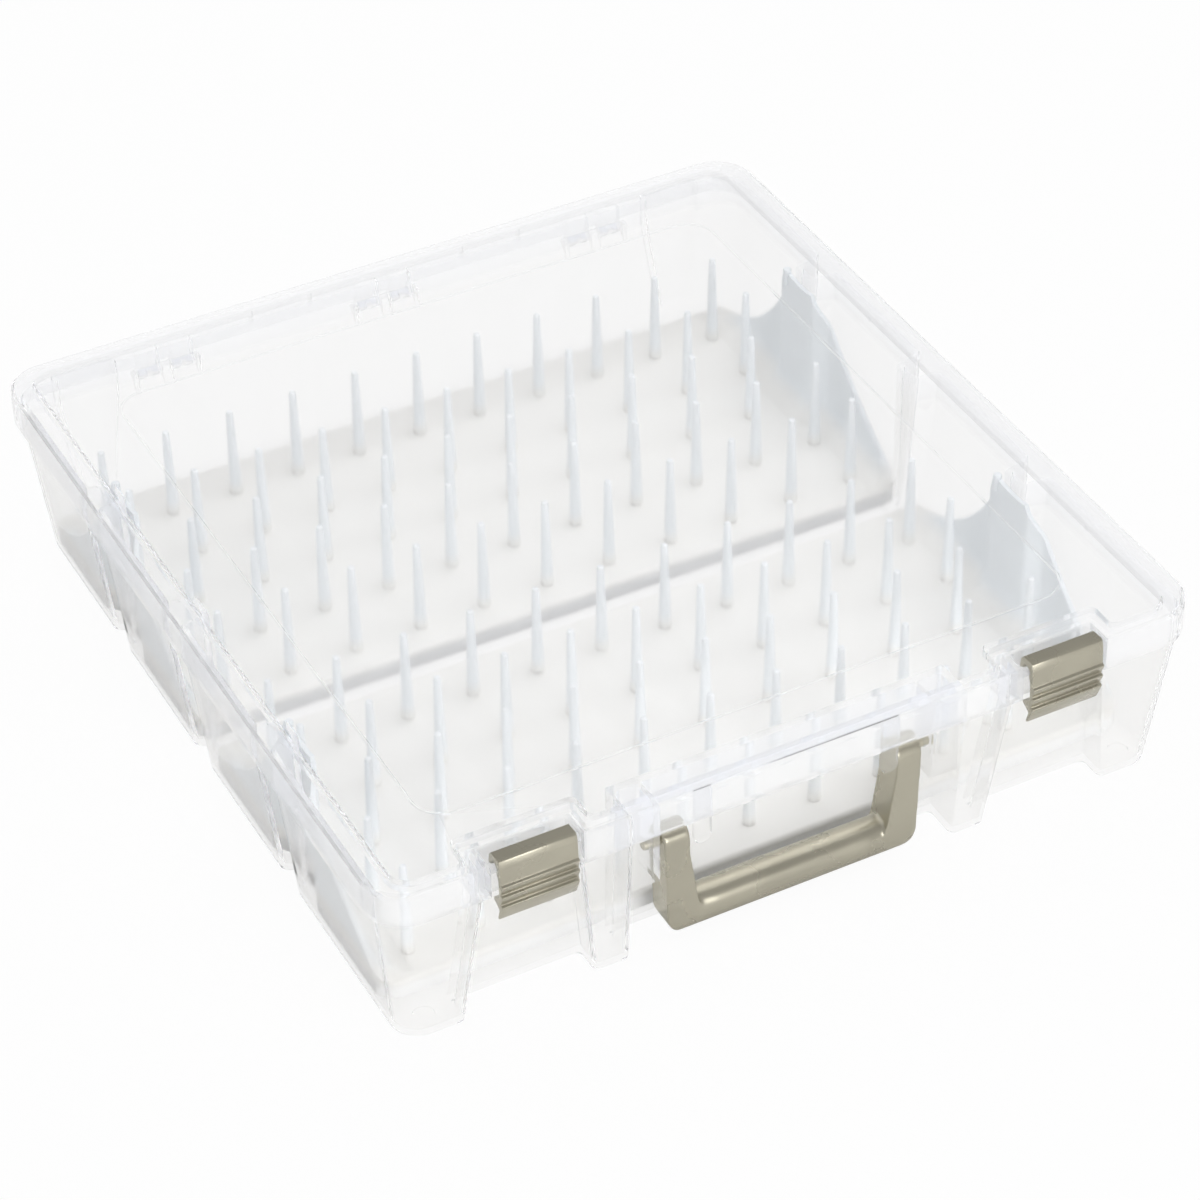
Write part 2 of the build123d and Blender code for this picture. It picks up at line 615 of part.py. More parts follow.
def pin():
    """Tapered spool pin with a bevelled tip, rooted in the deck."""
    root_z = -TRAY_WALL / 2
    shaft = PIN_TALL - PIN_TIP_BEVEL - root_z
    flat_gain = (PIN_R - PIN_TIP_R) * math.cos(math.pi / PIN_SIDES)
    draft = math.degrees(math.atan2(flat_gain, shaft))
    stem = extrude(Pos(0, 0, root_z) * RegularPolygon(PIN_R, PIN_SIDES), shaft, taper=draft)
    tip = Pos(0, 0, root_z + shaft) * RegularPolygon(PIN_TIP_R, PIN_SIDES)
    return stem + extrude(tip, PIN_TIP_BEVEL, taper=45)


def pin_places(mid_y):
    """Rows of pins; the middle row is staggered and one pin shorter."""
    places = []
    for row in range(PIN_ROWS):
        from_middle = row - (PIN_ROWS - 1) / 2
        count = PINS_LONG_ROW - (1 if from_middle == 0 else 0)
        for i in range(count):
            x = (i - (count - 1) / 2) * PIN_PITCH_X
            places.append(Pos(x, mid_y + PIN_SHIFT_Y + from_middle * PIN_PITCH_Y, TRAY_DECK_Z))
    return places


def make_tray(row):
    """Thread tray of one row: hollow deck and its field of pins."""
    mid_y = tray_middle(row)
    deck_plan = Pos(0, mid_y) * RectangleRounded(2 * TRAY_HALF_X, TRAY_DEPTH, TRAY_CORNER_R)
    hollow_plan = offset(deck_plan, -TRAY_WALL)
    for side in SIDES:
        x0, x1 = sorted((side * JOG_X, side * (TRAY_HALF_X + 1)))
        deck_plan -= flat(x0, x1, mid_y - JOG_HALF, mid_y + JOG_HALF)
        x0, x1 = sorted((side * (JOG_X - TRAY_WALL), side * (TRAY_HALF_X + 1)))
        reach = JOG_HALF + TRAY_WALL
        hollow_plan -= flat(x0, x1, mid_y - reach, mid_y + reach)
    height = TRAY_DECK_Z - FLOOR_TOP
    tray = extrude(Pos(0, 0, FLOOR_TOP) * deck_plan, height)
    tray -= extrude(Pos(0, 0, FLOOR_TOP) * hollow_plan, height - TRAY_WALL)
    one_pin = pin()
    return tray + [place * one_pin for place in pin_places(mid_y)]


def make_tray_end(row, side):
    """End wall of a thread tray, standing on its deck, with cove and post."""
    mid_y = tray_middle(row)
    blank = extrude(Pos(0, 0, TRAY_DECK_Z) * end_plate_plan(mid_y), END_HEIGHT_Z)
    cove_x = TRAY_HALF_X - END_PLATE - COVE_R
    cove = flat(cove_x, TRAY_HALF_X - END_PLATE / 2, TRAY_DECK_Z, TRAY_DECK_Z + COVE_R)
    cove -= Pos(cove_x, TRAY_DECK_Z + COVE_R) * Circle(COVE_R)
    for end in SIDES:
        y0, y1 = sorted((mid_y + end * JOG_HALF, mid_y + end * END_FOOT_HALF))
        blank += extrude(Plane.XZ.offset(-y0) * cove, -(y1 - y0))
    plate = blank & along_x(end_plate_view(mid_y), 0, TRAY_HALF_X + 1)
    post_tall = END_HEIGHT_Z + POST_RISE - TRAY_DECK_Z
    post = Cylinder(POST_R, post_tall, align=(Align.CENTER, Align.CENTER, Align.MIN))
    plate += Pos(JOG_X - END_PLATE, mid_y + JOG_HALF - END_PLATE, TRAY_DECK_Z) * post
    return plate if side > 0 else mirror(plate, Plane.YZ)


def tray_middle(row):
    """Y of the middle of the back (1) or front (-1) tray."""
    return TRAYS_MID_Y + row * TRAY_STEP


NODES = {
    "tray_box": make_base,
    "lid": make_lid,
    "handle": make_handle,
    "latch_left": lambda: make_latch(-1),
    "latch_right": lambda: make_latch(1),
    "thread_tray_back": lambda: make_tray(1),
    "thread_tray_front": lambda: make_tray(-1),
    "tray_back_end_left": lambda: make_tray_end(1, -1),
    "tray_back_end_right": lambda: make_tray_end(1, 1),
    "tray_front_end_left": lambda: make_tray_end(-1, -1),
    "tray_front_end_right": lambda: make_tray_end(-1, 1),
}

os.makedirs("parts", exist_ok=True)
for node, build in NODES.items():
    solid = build()
    solid.label = node
    export_step(solid, f"parts/{node}.step")
    print(node, round(solid.volume), solid.is_valid)
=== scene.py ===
"""Looks and studio for a clear satchel box of thread spool trays."""

import json
import math

import bmesh
import bpy
from mathutils import Matrix, Vector


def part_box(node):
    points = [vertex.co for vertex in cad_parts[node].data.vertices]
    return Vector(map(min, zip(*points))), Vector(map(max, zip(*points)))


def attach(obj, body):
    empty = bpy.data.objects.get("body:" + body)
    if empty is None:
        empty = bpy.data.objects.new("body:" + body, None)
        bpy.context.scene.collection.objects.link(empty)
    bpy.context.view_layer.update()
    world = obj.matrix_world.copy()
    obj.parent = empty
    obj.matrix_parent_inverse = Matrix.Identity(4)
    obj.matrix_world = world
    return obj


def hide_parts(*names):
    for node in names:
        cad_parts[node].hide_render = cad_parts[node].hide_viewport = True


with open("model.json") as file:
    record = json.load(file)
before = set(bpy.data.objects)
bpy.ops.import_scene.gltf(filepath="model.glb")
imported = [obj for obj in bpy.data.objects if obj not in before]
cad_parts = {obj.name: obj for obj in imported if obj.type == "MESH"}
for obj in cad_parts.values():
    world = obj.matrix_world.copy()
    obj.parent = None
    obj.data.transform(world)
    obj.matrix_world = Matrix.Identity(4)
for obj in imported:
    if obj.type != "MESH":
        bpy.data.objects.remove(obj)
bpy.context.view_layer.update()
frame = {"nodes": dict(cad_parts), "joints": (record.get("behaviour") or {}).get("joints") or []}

bl_info = {
    "name": "Thread Spool Box",
    "version": (1, 0, 0),
    "blender": (4, 5, 0),
    "location": "View3D > Sidebar > Spool Box",
    "description": "Dresses the packed spool box in its plastics and sets up its studio",
    "category": "Object",
}

MM = 0.001

# A tray's end, in mm: it is drawn in round the upright groove in the box wall.
GROOVE_HALF = 12.4
GROOVE_DEPTH = 4.8
GROOVE_BLEND = 10
WALL_TOP = 75
WALL_TOP_HALF = 12
WALL_FOOT_HALF = 80
WALL_FOOT = [(-74, 4), (74, 4)]
COVE_SHARES = (0, 0.06, 0.15, 0.28, 0.45, 0.7)

# Slopes of an end wall to the back (1) and the front (-1): where each curve is pulled
# near the peak and near the foot, as shares of its reach and of its rise.
WALL_SLOPES = (
    (1, (1.5, 0.68), (0.475, 0.12)),
    (-1, (1.8, 0.7), (0.61, 0.32)),
)

# Outer pins, from the tray's edges, and how far the field sits to the front.
PIN_EDGE_X = 17.5 * MM
PIN_EDGE_Y = 18.5 * MM
PIN_SHIFT_Y = -3.75 * MM
PIN_SINK = 0.5 * MM

# Round knob at the peak of an end wall.
KNOB_X = 165 * MM
KNOB_SHIFT_Y = 10.4 * MM
KNOB_RADIUS = 1.9 * MM
KNOB_TALL = 8 * MM

# Carry handle, in mm.
HANDLE_HALF = 58.5
HANDLE_ARM = 11.5
HANDLE_THICK = 13.5
GRIP_TOP = 19.5
GRIP_NECK = 12
GRIP_REACH = 4
PIVOT_RADIUS = 2.4

# Latch bore round its rod, in mm.
LATCH_BORE = 2.35

# Sockets of the shared skin group, the middle range of a noise, and the relief's depth.
SKIN_SOCKETS = {
    "INPUT": ("Grain Size", "Cloud Size", "Smooth", "Rough"),
    "OUTPUT": ("Height", "Cloud", "Roughness"),
}
NOISE_LOW = 0.3
NOISE_HIGH = 0.7
RELIEF_DEPTH = 0.3 * MM

# Light that goes through a plastic to the lamps, and the step at which a light
# path inside the clear shell ends in an even pale glow.
CLEAR_TO_LAMPS = 0.97
FROSTED_TO_LAMPS = 0.6
LAST_STEP = 7.5
PALE_GLOW = (0.84, 0.86, 0.92, 1)

# Lamps: name, place, size, power setting, and whether glossy surfaces mirror it.
LAMP_AIM = (0, 0, 0.04)
LAMPS = (
    ("key_lamp", (0.6, 0.0, 1.6), 1.8, "key_power", False),
    ("side_lamp", (-1.6, -0.3, 0.7), 1.2, "side_power", False),
    ("fill_lamp", (0.1, -1.4, 0.3), 0.5, "fill_power", True),
)

# Camera: place, and its right, up and back ways.
CAMERA_PLACE = (-0.59744, -1.18636, 1.09263)
CAMERA_WAYS = (
    (0.88337061, -0.46834963, -0.01746385),
    (0.30581641, 0.5477737, 0.77872993),
    (-0.35515163, -0.69324787, 0.62711619),
)
FLOOR_Z = -0.2 * MM
FLOOR_WHITE = 0.95


class SpoolBoxPlastics(bpy.types.PropertyGroup):
    """Colours and finishes of the three plastics."""

    clear_wall: bpy.props.FloatVectorProperty(
        name="Clear wall tint",
        description="Tint of the clear plastic in the walls and the foot, a trace of cream",
        subtype="COLOR",
        size=3,
        min=0,
        max=1,
        default=(0.975, 0.973, 0.968),
    )
    clear_rim: bpy.props.FloatVectorProperty(
        name="Clear rim tint",
        description="Tint of the clear plastic in the rim and the lid, a trace of lavender",
        subtype="COLOR",
        size=3,
        min=0,
        max=1,
        default=(0.994, 0.995, 0.999),
    )
    rim_from: bpy.props.FloatProperty(
        name="Rim from",
        description="Height at which the wall tint starts to turn into the rim tint",
        default=62 * MM,
        min=0,
        subtype="DISTANCE",
        unit="LENGTH",
    )
    wall_haze: bpy.props.FloatProperty(
        name="Wall haze",
        description="Share of the light that the walls and the foot scatter",
        default=0.07,
        min=0,
        max=1,
    )
    panel_haze: bpy.props.FloatProperty(
        name="Panel haze",
        description="Share of the light that the lid's flat panel scatters",
        default=0.01,
        min=0,
        max=1,
    )
    rim_haze: bpy.props.FloatProperty(
        name="Rim haze",
        description="Share of the light that the thick rim and columns scatter like milk",
        default=0.135,
        min=0,
        max=1,
    )
    clear_ior: bpy.props.FloatProperty(
        name="Clear refraction",
        description="How strongly the clear plastic bends light, kept low for its soft edges",
        default=1.06,
        min=1,
        max=2,
    )
    frosted: bpy.props.FloatVectorProperty(
        name="Frosted plastic",
        description="Body colour of the milky trays",
        subtype="COLOR",
        size=3,
        min=0,
        max=1,
        default=(0.905, 0.895, 0.872),
    )
    # Partly painted shade: pins and end walls get a cooler, darker tone than the deck. Part of
    # it is the thin plastic's own tone, and part is the shade that upright parts get, painted
    # in.
    thin_tone_and_shade: bpy.props.FloatVectorProperty(
        name="Frosted plastic, thin",
        description="Body colour of the trays' pins and end walls",
        subtype="COLOR",
        size=3,
        min=0,
        max=1,
        default=(0.855, 0.885, 0.91),
    )
    # Painted light: the skirts' colour is set near white to stand in for light that shines
    # through them.
    skirt_painted_light: bpy.props.FloatVectorProperty(
        name="Frosted plastic, skirt",
        description="Body colour of the trays' skirts, bright because light shines through them",
        subtype="COLOR",
        size=3,
        min=0,
        max=1,
        default=(0.985, 0.987, 0.99),
    )
    taupe: bpy.props.FloatVectorProperty(
        name="Taupe plastic",
        description="Body colour of the handle and latches",
        subtype="COLOR",
        size=3,
        min=0,
        max=1,
        default=(0.49, 0.462, 0.37),
    )


class SpoolBoxShapes(bpy.types.PropertyGroup):
    """Sizes of the modelled pieces."""

    edge: bpy.props.FloatProperty(
        name="Moulded edge",
        description="Width of the rounding along the edges of the clear mouldings",
        default=0.5 * MM,
        min=0,
        subtype="DISTANCE",
        unit="LENGTH",
    )
    pin_radius: bpy.props.FloatProperty(
        name="Pin radius",
        description="Radius of a spool pin where it meets the deck",
        default=2.8 * MM,
        min=0,
        subtype="DISTANCE",
        unit="LENGTH",
    )
    pin_tip_radius: bpy.props.FloatProperty(
        name="Pin tip radius",
        description="Radius of a spool pin just under its rounded tip",
        default=1.5 * MM,
        min=0,
        subtype="DISTANCE",
        unit="LENGTH",
    )
    pin_sides: bpy.props.IntProperty(
        name="Pin sides",
        description="Number of faces round a spool pin",
        default=10,
        min=6,
        max=24,
    )
    pins_long_row: bpy.props.IntProperty(
        name="Pins in a long row",
        description="Pins in each row but the staggered middle one, which has one fewer",
        default=11,
        min=2,
    )
    pin_rows: bpy.props.IntProperty(
        name="Pin rows",
        description="Rows of pins on one tray",
        default=5,
        min=1,
    )
    deck_corner: bpy.props.FloatProperty(
        name="Deck corner",
        description="Corner radius of a tray's deck seen from above",
        default=8 * MM,
        min=0,
        subtype="DISTANCE",
        unit="LENGTH",
    )
    deck_edge: bpy.props.FloatProperty(
        name="Deck edge",
        description="Width of the rounding between a tray's deck and its skirt",
        default=2.2 * MM,
        min=0,
        subtype="DISTANCE",
        unit="LENGTH",
    )
    wall: bpy.props.FloatProperty(
        name="Tray wall",
        description="Wall thickness of the trays",
        default=1.8 * MM,
        min=0,
        subtype="DISTANCE",
        unit="LENGTH",
    )
    end_wall: bpy.props.FloatProperty(
        name="End wall",
        description="Thickness of the walls that rise at both ends of a tray",
        default=2 * MM,
        min=0,
        subtype="DISTANCE",
        unit="LENGTH",
    )
    cove: bpy.props.FloatProperty(
        name="End wall cove",
        description="Radius of the hollow sweep from a tray's deck up its end wall",
        default=12 * MM,
        min=0,
        subtype="DISTANCE",
        unit="LENGTH",
    )
    blend_grid: bpy.props.FloatProperty(
        name="Blend grid",
        description="Grid at which the parts of the handle are blended smooth",
        default=0.48 * MM,
        min=0.2 * MM,
        subtype="DISTANCE",
        unit="LENGTH",
    )


class SpoolBoxStudio(bpy.types.PropertyGroup):
    """Floor, lamps and camera."""

    floor_size: bpy.props.FloatProperty(
        name="Floor size",
        description="Side of the square studio floor",
        default=30.0,
        min=1,
        subtype="DISTANCE",
        unit="LENGTH",
    )
    sky_strength: bpy.props.FloatProperty(
        name="Surround light",
        description="Strength of the even light from all round",
        default=0.62,
        min=0,
    )
    sky_mirrored: bpy.props.FloatProperty(
        name="Surround in reflections",
        description="Share of the surround light that glossy surfaces mirror",
        default=0.55,
        min=0,
        max=1,
    )
    key_power: bpy.props.FloatProperty(
        name="Key lamp power",
        description="Power of the large soft lamp above and to the right of the box",
        default=8.5,
        min=0,
        subtype="POWER",
        unit="POWER",
    )
    fill_power: bpy.props.FloatProperty(
        name="Fill lamp power",
        description="Power of the soft lamp in front of the box",
        default=3.6,
        min=0,
        subtype="POWER",
        unit="POWER",
    )
    side_power: bpy.props.FloatProperty(
        name="Side lamp power",
        description="Power of the soft lamp on the left of the box",
        default=3.0,
        min=0,
        subtype="POWER",
        unit="POWER",
    )
    lens: bpy.props.FloatProperty(
        name="Lens",
        description="Focal length of the camera",
        default=118.97,
        min=10,
        subtype="DISTANCE_CAMERA",
        unit="CAMERA",
    )


def node(tree, kind, x=0, y=0, **values):
    """Add a shader node at a place in the tree and set its fields and inputs."""
    made = tree.nodes.new(kind)
    made.location = (x, y)
    for name, value in values.items():
        if hasattr(made, name):
            setattr(made, name, value)
        else:
            made.inputs[name.replace("_", " ")].default_value = value
    return made


def fresh_material(name):
    """Empty node material with its output and Principled shader."""
    material = bpy.data.materials.new(name)
    material.use_nodes = True
    tree = material.node_tree
    tree.nodes.clear()
    output = node(tree, "ShaderNodeOutputMaterial", 600, 0)
    shader = node(tree, "ShaderNodeBsdfPrincipled", 300, 0)
    tree.links.new(shader.outputs["BSDF"], output.inputs["Surface"])
    return material, tree, shader, output


def moulded_skin_group():
    """Fine moulding texture: height, cloudy tone and roughness over the surface."""
    name = "moulded_skin"
    if name in bpy.data.node_groups:
        return bpy.data.node_groups[name]
    group = bpy.data.node_groups.new(name, "ShaderNodeTree")
    for way, sockets in SKIN_SOCKETS.items():
        for socket in sockets:
            group.interface.new_socket(socket, in_out=way, socket_type="NodeSocketFloat")
    inputs = node(group, "NodeGroupInput", -800, 0)
    outputs = node(group, "NodeGroupOutput", 500, 0)
    place = node(group, "ShaderNodeTexCoord", -800, -300)
    grain = node(group, "ShaderNodeTexNoise", -400, 200, Detail=3.0, Roughness=0.6)
    cloud = node(group, "ShaderNodeTexNoise", -400, -100, Detail=4.0, Roughness=0.5)
    spread = node(group, "ShaderNodeMapRange", 0, -150)
    spread.inputs["From Min"].default_value = NOISE_LOW
    spread.inputs["From Max"].default_value = NOISE_HIGH
    link = group.links.new
    for noise, size in ((grain, "Grain Size"), (cloud, "Cloud Size")):
        link(place.outputs["Object"], noise.inputs["Vector"])
        link(inputs.outputs[size], noise.inputs["Scale"])
    link(cloud.outputs["Fac"], spread.inputs["Value"])
    link(inputs.outputs["Smooth"], spread.inputs["To Min"])
    link(inputs.outputs["Rough"], spread.inputs["To Max"])
    link(grain.outputs["Fac"], outputs.inputs["Height"])
    link(cloud.outputs["Fac"], outputs.inputs["Cloud"])
    link(spread.outputs["Result"], outputs.inputs["Roughness"])
    return group


def add_skin(tree, shader, grain, cloud, smooth, rough, bump):
    """Place the moulded skin group and feed roughness and bump from it."""
    skin = node(tree, "ShaderNodeGroup", -300, -200)
    skin.node_tree = moulded_skin_group()
    skin.inputs["Grain Size"].default_value = grain
    skin.inputs["Cloud Size"].default_value = cloud
    skin.inputs["Smooth"].default_value = smooth
    skin.inputs["Rough"].default_value = rough
    relief = node(tree, "ShaderNodeBump", 0, -300, Strength=bump, Distance=RELIEF_DEPTH)
    tree.links.new(skin.outputs["Height"], relief.inputs["Height"])
    tree.links.new(relief.outputs["Normal"], shader.inputs["Normal"])
    tree.links.new(skin.outputs["Roughness"], shader.inputs["Roughness"])
    return skin


def two_tones(tree, shader, skin, low, high):
    """Base colour that drifts between two tones with the cloud mask."""
    ramp = node(tree, "ShaderNodeValToRGB", -50, 200)
    ends = ((NOISE_LOW, low), (NOISE_HIGH, high))
    for element, (position, colour) in zip(ramp.color_ramp.elements, ends):
        element.position = position
        element.color = (*colour, 1)
    tree.links.new(skin.outputs["Cloud"], ramp.inputs["Fac"])
    tree.links.new(ramp.outputs["Color"], shader.inputs["Base Color"])


def height_mask(tree, x, y, low, high):
    """Mask that climbs from 0 to 1 between two heights above the foot."""
    place = node(tree, "ShaderNodeTexCoord", x - 400, y)
    split = node(tree, "ShaderNodeSeparateXYZ", x - 200, y)
    climb = node(tree, "ShaderNodeMapRange", x, y, interpolation_type="SMOOTHSTEP")
    climb.inputs["From Min"].default_value = low
    climb.inputs["From Max"].default_value = high
    tree.links.new(place.outputs["Object"], split.inputs["Vector"])
    tree.links.new(split.outputs["Z"], climb.inputs["Value"])
    return climb.outputs["Result"]


def mix_colours(tree, x, y, low, high, factor):
    """Colour between two tones, by a mask."""
    tone = node(tree, "ShaderNodeMix", x, y, data_type="RGBA")
    tone.inputs["A"].default_value = (*low, 1)
    tone.inputs["B"].default_value = (*high, 1)
    tree.links.new(factor, tone.inputs["Factor"])
    return tone.outputs["Result"]


def let_lamps_through(tree, surface, output, share):
    """Let lamps shine through a translucent plastic, so that it casts only a faint shadow."""
    path = node(tree, "ShaderNodeLightPath", 300, 500)
    tint = (share, share, share, 1)
    through = node(tree, "ShaderNodeBsdfTransparent", 500, 300, Color=tint)
    lamps = node(tree, "ShaderNodeMixShader", 700, 150)
    tree.links.new(path.outputs["Is Shadow Ray"], lamps.inputs["Fac"])
    tree.links.new(surface, lamps.inputs[1])
    tree.links.new(through.outputs["BSDF"], lamps.inputs[2])
    output.location = (1200, 0)
    tree.links.new(lamps.outputs["Shader"], output.inputs["Surface"])
    return lamps.outputs["Shader"]


def end_in_glow(tree, surface, output):
    """End light paths that stay long inside the clear shell in an even pale glow."""
    path = node(tree, "ShaderNodeLightPath", 700, 700)
    steps = node(tree, "ShaderNodeMath", 850, 800, operation="MULTIPLY_ADD")
    steps.inputs[1].default_value = 2
    deep = node(tree, "ShaderNodeMath", 850, 600, operation="GREATER_THAN")
    deep.inputs[1].default_value = LAST_STEP
    tree.links.new(path.outputs["Glossy Depth"], steps.inputs[0])
    tree.links.new(path.outputs["Transmission Depth"], steps.inputs[2])
    tree.links.new(steps.outputs["Value"], deep.inputs[0])
    glow = node(tree, "ShaderNodeEmission", 850, 400, Color=PALE_GLOW)
    depths = node(tree, "ShaderNodeMixShader", 1000, 150)
    tree.links.new(deep.outputs["Value"], depths.inputs["Fac"])
    tree.links.new(surface, depths.inputs[1])
    tree.links.new(glow.outputs["Emission"], depths.inputs[2])
    tree.links.new(depths.outputs["Shader"], output.inputs["Surface"])


def clear_plastic(name, settings, haze):
    """Clear plastic with a share of milky haze; light goes nearly straight through it."""
    material, tree, shader, output = fresh_material(name)
    skin = add_skin(tree, shader, grain=900, cloud=14, smooth=0.14, rough=0.22, bump=0.01)
    height = height_mask(tree, -600, 300, settings.rim_from, settings.rim_from + 12 * MM)
    tone = mix_colours(tree, -100, 300, settings.clear_wall, settings.clear_rim, height)
    cloud = mix_colours(tree, 100, 300, (0.996, 0.996, 0.996), (1, 1, 1), skin.outputs["Cloud"])
    blend = node(tree, "ShaderNodeMix", 150, 500, data_type="RGBA", blend_type="MULTIPLY")
    blend.inputs["Factor"].default_value = 1
    tree.links.new(tone, blend.inputs["A"])
    tree.links.new(cloud, blend.inputs["B"])
    tree.links.new(blend.outputs["Result"], shader.inputs["Base Color"])
    shader.inputs["Transmission Weight"].default_value = 1 - haze
    shader.inputs["IOR"].default_value = settings.clear_ior
    lit = let_lamps_through(tree, shader.outputs["BSDF"], output, CLEAR_TO_LAMPS)
    end_in_glow(tree, lit, output)
    return material


def frosted_plastic(name, settings, depth):
    """Milky tray plastic: warm deck; pins and end walls above it in a cooler, darker tone,
    partly the thin plastic's own and partly painted shade; skirt below in a pale tone that is
    painted light, standing in for light shining through it.
    """
    material, tree, shader, output = fresh_material(name)
    skin = add_skin(tree, shader, grain=650, cloud=22, smooth=0.38, rough=0.52, bump=0.03)
    deck_z = next(j["pos_m"][2] for j in frame["joints"] if j["child"] == "tray_back_body")
    # Painted shade, in part: from just above the deck, the pins and end walls fade to the
    # cooler, darker thin tone.
    above = height_mask(tree, -600, 300, deck_z + 0.3 * MM, deck_z + 9 * MM)
    # Painted light: below the deck, the skirts fade to the near-white skirt tone.
    below = height_mask(tree, -600, 600, deck_z - 0.6 * MM, deck_z - 4 * MM)
    cloud = node(tree, "ShaderNodeMath", -250, 300, operation="MULTIPLY_ADD")
    cloud.inputs[1].default_value = 0.12
    tree.links.new(skin.outputs["Cloud"], cloud.inputs[0])
    tree.links.new(above, cloud.inputs[2])
    tone = mix_colours(tree, -50, 300, settings.frosted, settings.thin_tone_and_shade, cloud.outputs[0])
    skirt = mix_colours(tree, 120, 450, settings.frosted, settings.skirt_painted_light, below)
    tree.links.new(tone, skirt.node.inputs["A"])
    tree.links.new(skirt, shader.inputs["Base Color"])
    shader.inputs["Subsurface Weight"].default_value = depth
    shader.inputs["Subsurface Radius"].default_value = (6 * MM, 6 * MM, 6 * MM)
    shader.inputs["Subsurface Scale"].default_value = 1.0
    shader.inputs["IOR"].default_value = 1.3
    let_lamps_through(tree, shader.outputs["BSDF"], output, FROSTED_TO_LAMPS)
    return material


def taupe_plastic(settings):
    """Pearly satin taupe plastic of the handle and latches."""
    material, tree, shader, _ = fresh_material("taupe_satin_plastic")
    skin = add_skin(tree, shader, grain=650, cloud=30, smooth=0.25, rough=0.3, bump=0.03)
    tone = settings.taupe
    two_tones(tree, shader, skin, [c * 0.93 for c in tone], [min(1, c * 1.05) for c in tone])
    shader.inputs["Metallic"].default_value = 0.7
    shader.inputs["IOR"].default_value = 1.48
    return material


def dress(obj, *materials):
    """Give an object these materials in its slots."""
    obj.data.materials.clear()
    for material in materials:
        obj.data.materials.append(material)


def work_on(obj):
    """Leave edit mode and make obj the one selected, active object."""
    if bpy.context.object and bpy.context.object.mode != "OBJECT":
        bpy.ops.object.mode_set(mode="OBJECT")
    bpy.ops.object.select_all(action="DESELECT")
    if obj:
        obj.select_set(True)
        bpy.context.view_layer.objects.active = obj


def pick(kind, test):
    """In edit mode, select only the vertices, edges or faces that pass a test."""
    bpy.ops.mesh.select_mode(type=kind)
    bpy.ops.mesh.select_all(action="DESELECT")
    mesh = bmesh.from_edit_mesh(bpy.context.edit_object.data)
    for item in {"VERT": mesh.verts, "EDGE": mesh.edges, "FACE": mesh.faces}[kind]:
        if test(item):
            item.select_set(True)
    mesh.select_flush_mode()
    bmesh.update_edit_mesh(bpy.context.edit_object.data)


def move(way):
    """Move what is selected in edit mode."""
    bpy.ops.transform.translate(value=tuple(way))


def extrude(way):
    """Extrude the selected region by a way."""
    bpy.ops.mesh.extrude_region_move(TRANSFORM_OT_translate={"value": tuple(way)})


def add_part(kind, **settings):
    """Add a primitive at its size and place and open it in edit mode."""
    work_on(None)
    getattr(bpy.ops.mesh, f"primitive_{kind}_add")(**settings)
    bpy.ops.object.transform_apply(location=True, rotation=True, scale=True)
    bpy.ops.object.mode_set(mode="EDIT")
    return bpy.context.object


def bevel_and_close(width, segments):
    """Bevel what is selected and leave edit mode."""
    bpy.ops.mesh.bevel(offset=width, segments=segments, affect="EDGES")
    bpy.ops.object.mode_set(mode="OBJECT")


def cut_through(plane_co, plane_no):
    """Cut every face of the object in edit mode along a plane."""
    bpy.ops.mesh.select_all(action="SELECT")
    bpy.ops.mesh.bisect(plane_co=plane_co, plane_no=plane_no)


def turn_faces_out():
    """Point every face of the object in edit mode outwards."""
    bpy.ops.mesh.select_all(action="SELECT")
    bpy.ops.mesh.normals_make_consistent(inside=False)


def draw_outline(name, points):
    """Flat face drawn point by point from one vertex; the object stays in edit mode."""
    add_part("plane", size=MM, location=points[0]).name = name
    bpy.ops.mesh.select_mode(type="VERT")
    bpy.ops.mesh.select_all(action="SELECT")
    bpy.ops.mesh.merge(type="CENTER")
    for here, there in zip(points, points[1:]):
        way = tuple(there - here)
        bpy.ops.mesh.extrude_vertices_move(TRANSFORM_OT_translate={"value": way})
    bpy.ops.mesh.select_all(action="SELECT")
    bpy.ops.mesh.edge_face_add()
    return bpy.context.object


def thicken(way):
    """Extrude the drawn face into a closed solid and leave edit mode."""
    extrude(way)
    turn_faces_out()
    bpy.ops.object.mode_set(mode="OBJECT")


def rounded(corners, steps=6):
    """Flat outline in mm whose corners (across, up, radius) are rounded by arcs."""
    points = []
    for i, (across, up, radius) in enumerate(corners):
        here = Vector((across, up))
        before = (Vector(corners[i - 1][:2]) - here).normalized()
        after = (Vector(corners[(i + 1) % len(corners)][:2]) - here).normalized()
        if radius == 0:
            points.append(here)
            continue
        half = before.angle(after) / 2
        reach = radius / math.tan(half)
        middle = here + (before + after).normalized() * (radius / math.sin(half))
        first = here + before * reach - middle
        last = here + after * reach - middle
        for step in range(steps + 1):
            way = first.slerp(last, step / steps).normalized()
            points.append(middle + way * radius)
    return points


def on_side(points, x):
    """Points drawn as (y, z) in mm, set at x."""
    return [Vector((x, y * MM, z * MM)) for y, z in points]


def on_front(points, y):
    """Points drawn as (x, z) in mm, set at y."""
    return [Vector((x * MM, y, z * MM)) for x, z in points]


def finish_with(obj, kind, **settings):
    """Add a modifier, set it and apply it."""
    work_on(obj)
    modifier = obj.modifiers.new(kind.lower(), kind)
    for name, value in settings.items():
        setattr(modifier, name, value)
    bpy.ops.object.modifier_apply(modifier=modifier.name)


def round_edges(obj, width, segments=2, sharper_than=30):
    """Round every edge that is sharper than an angle in degrees."""
    finish_with(
        obj,
        "BEVEL",
        width=width,
        segments=segments,
        limit_method="ANGLE",
        angle_limit=math.radians(sharper_than),
        miter_outer="MITER_ARC",
    )


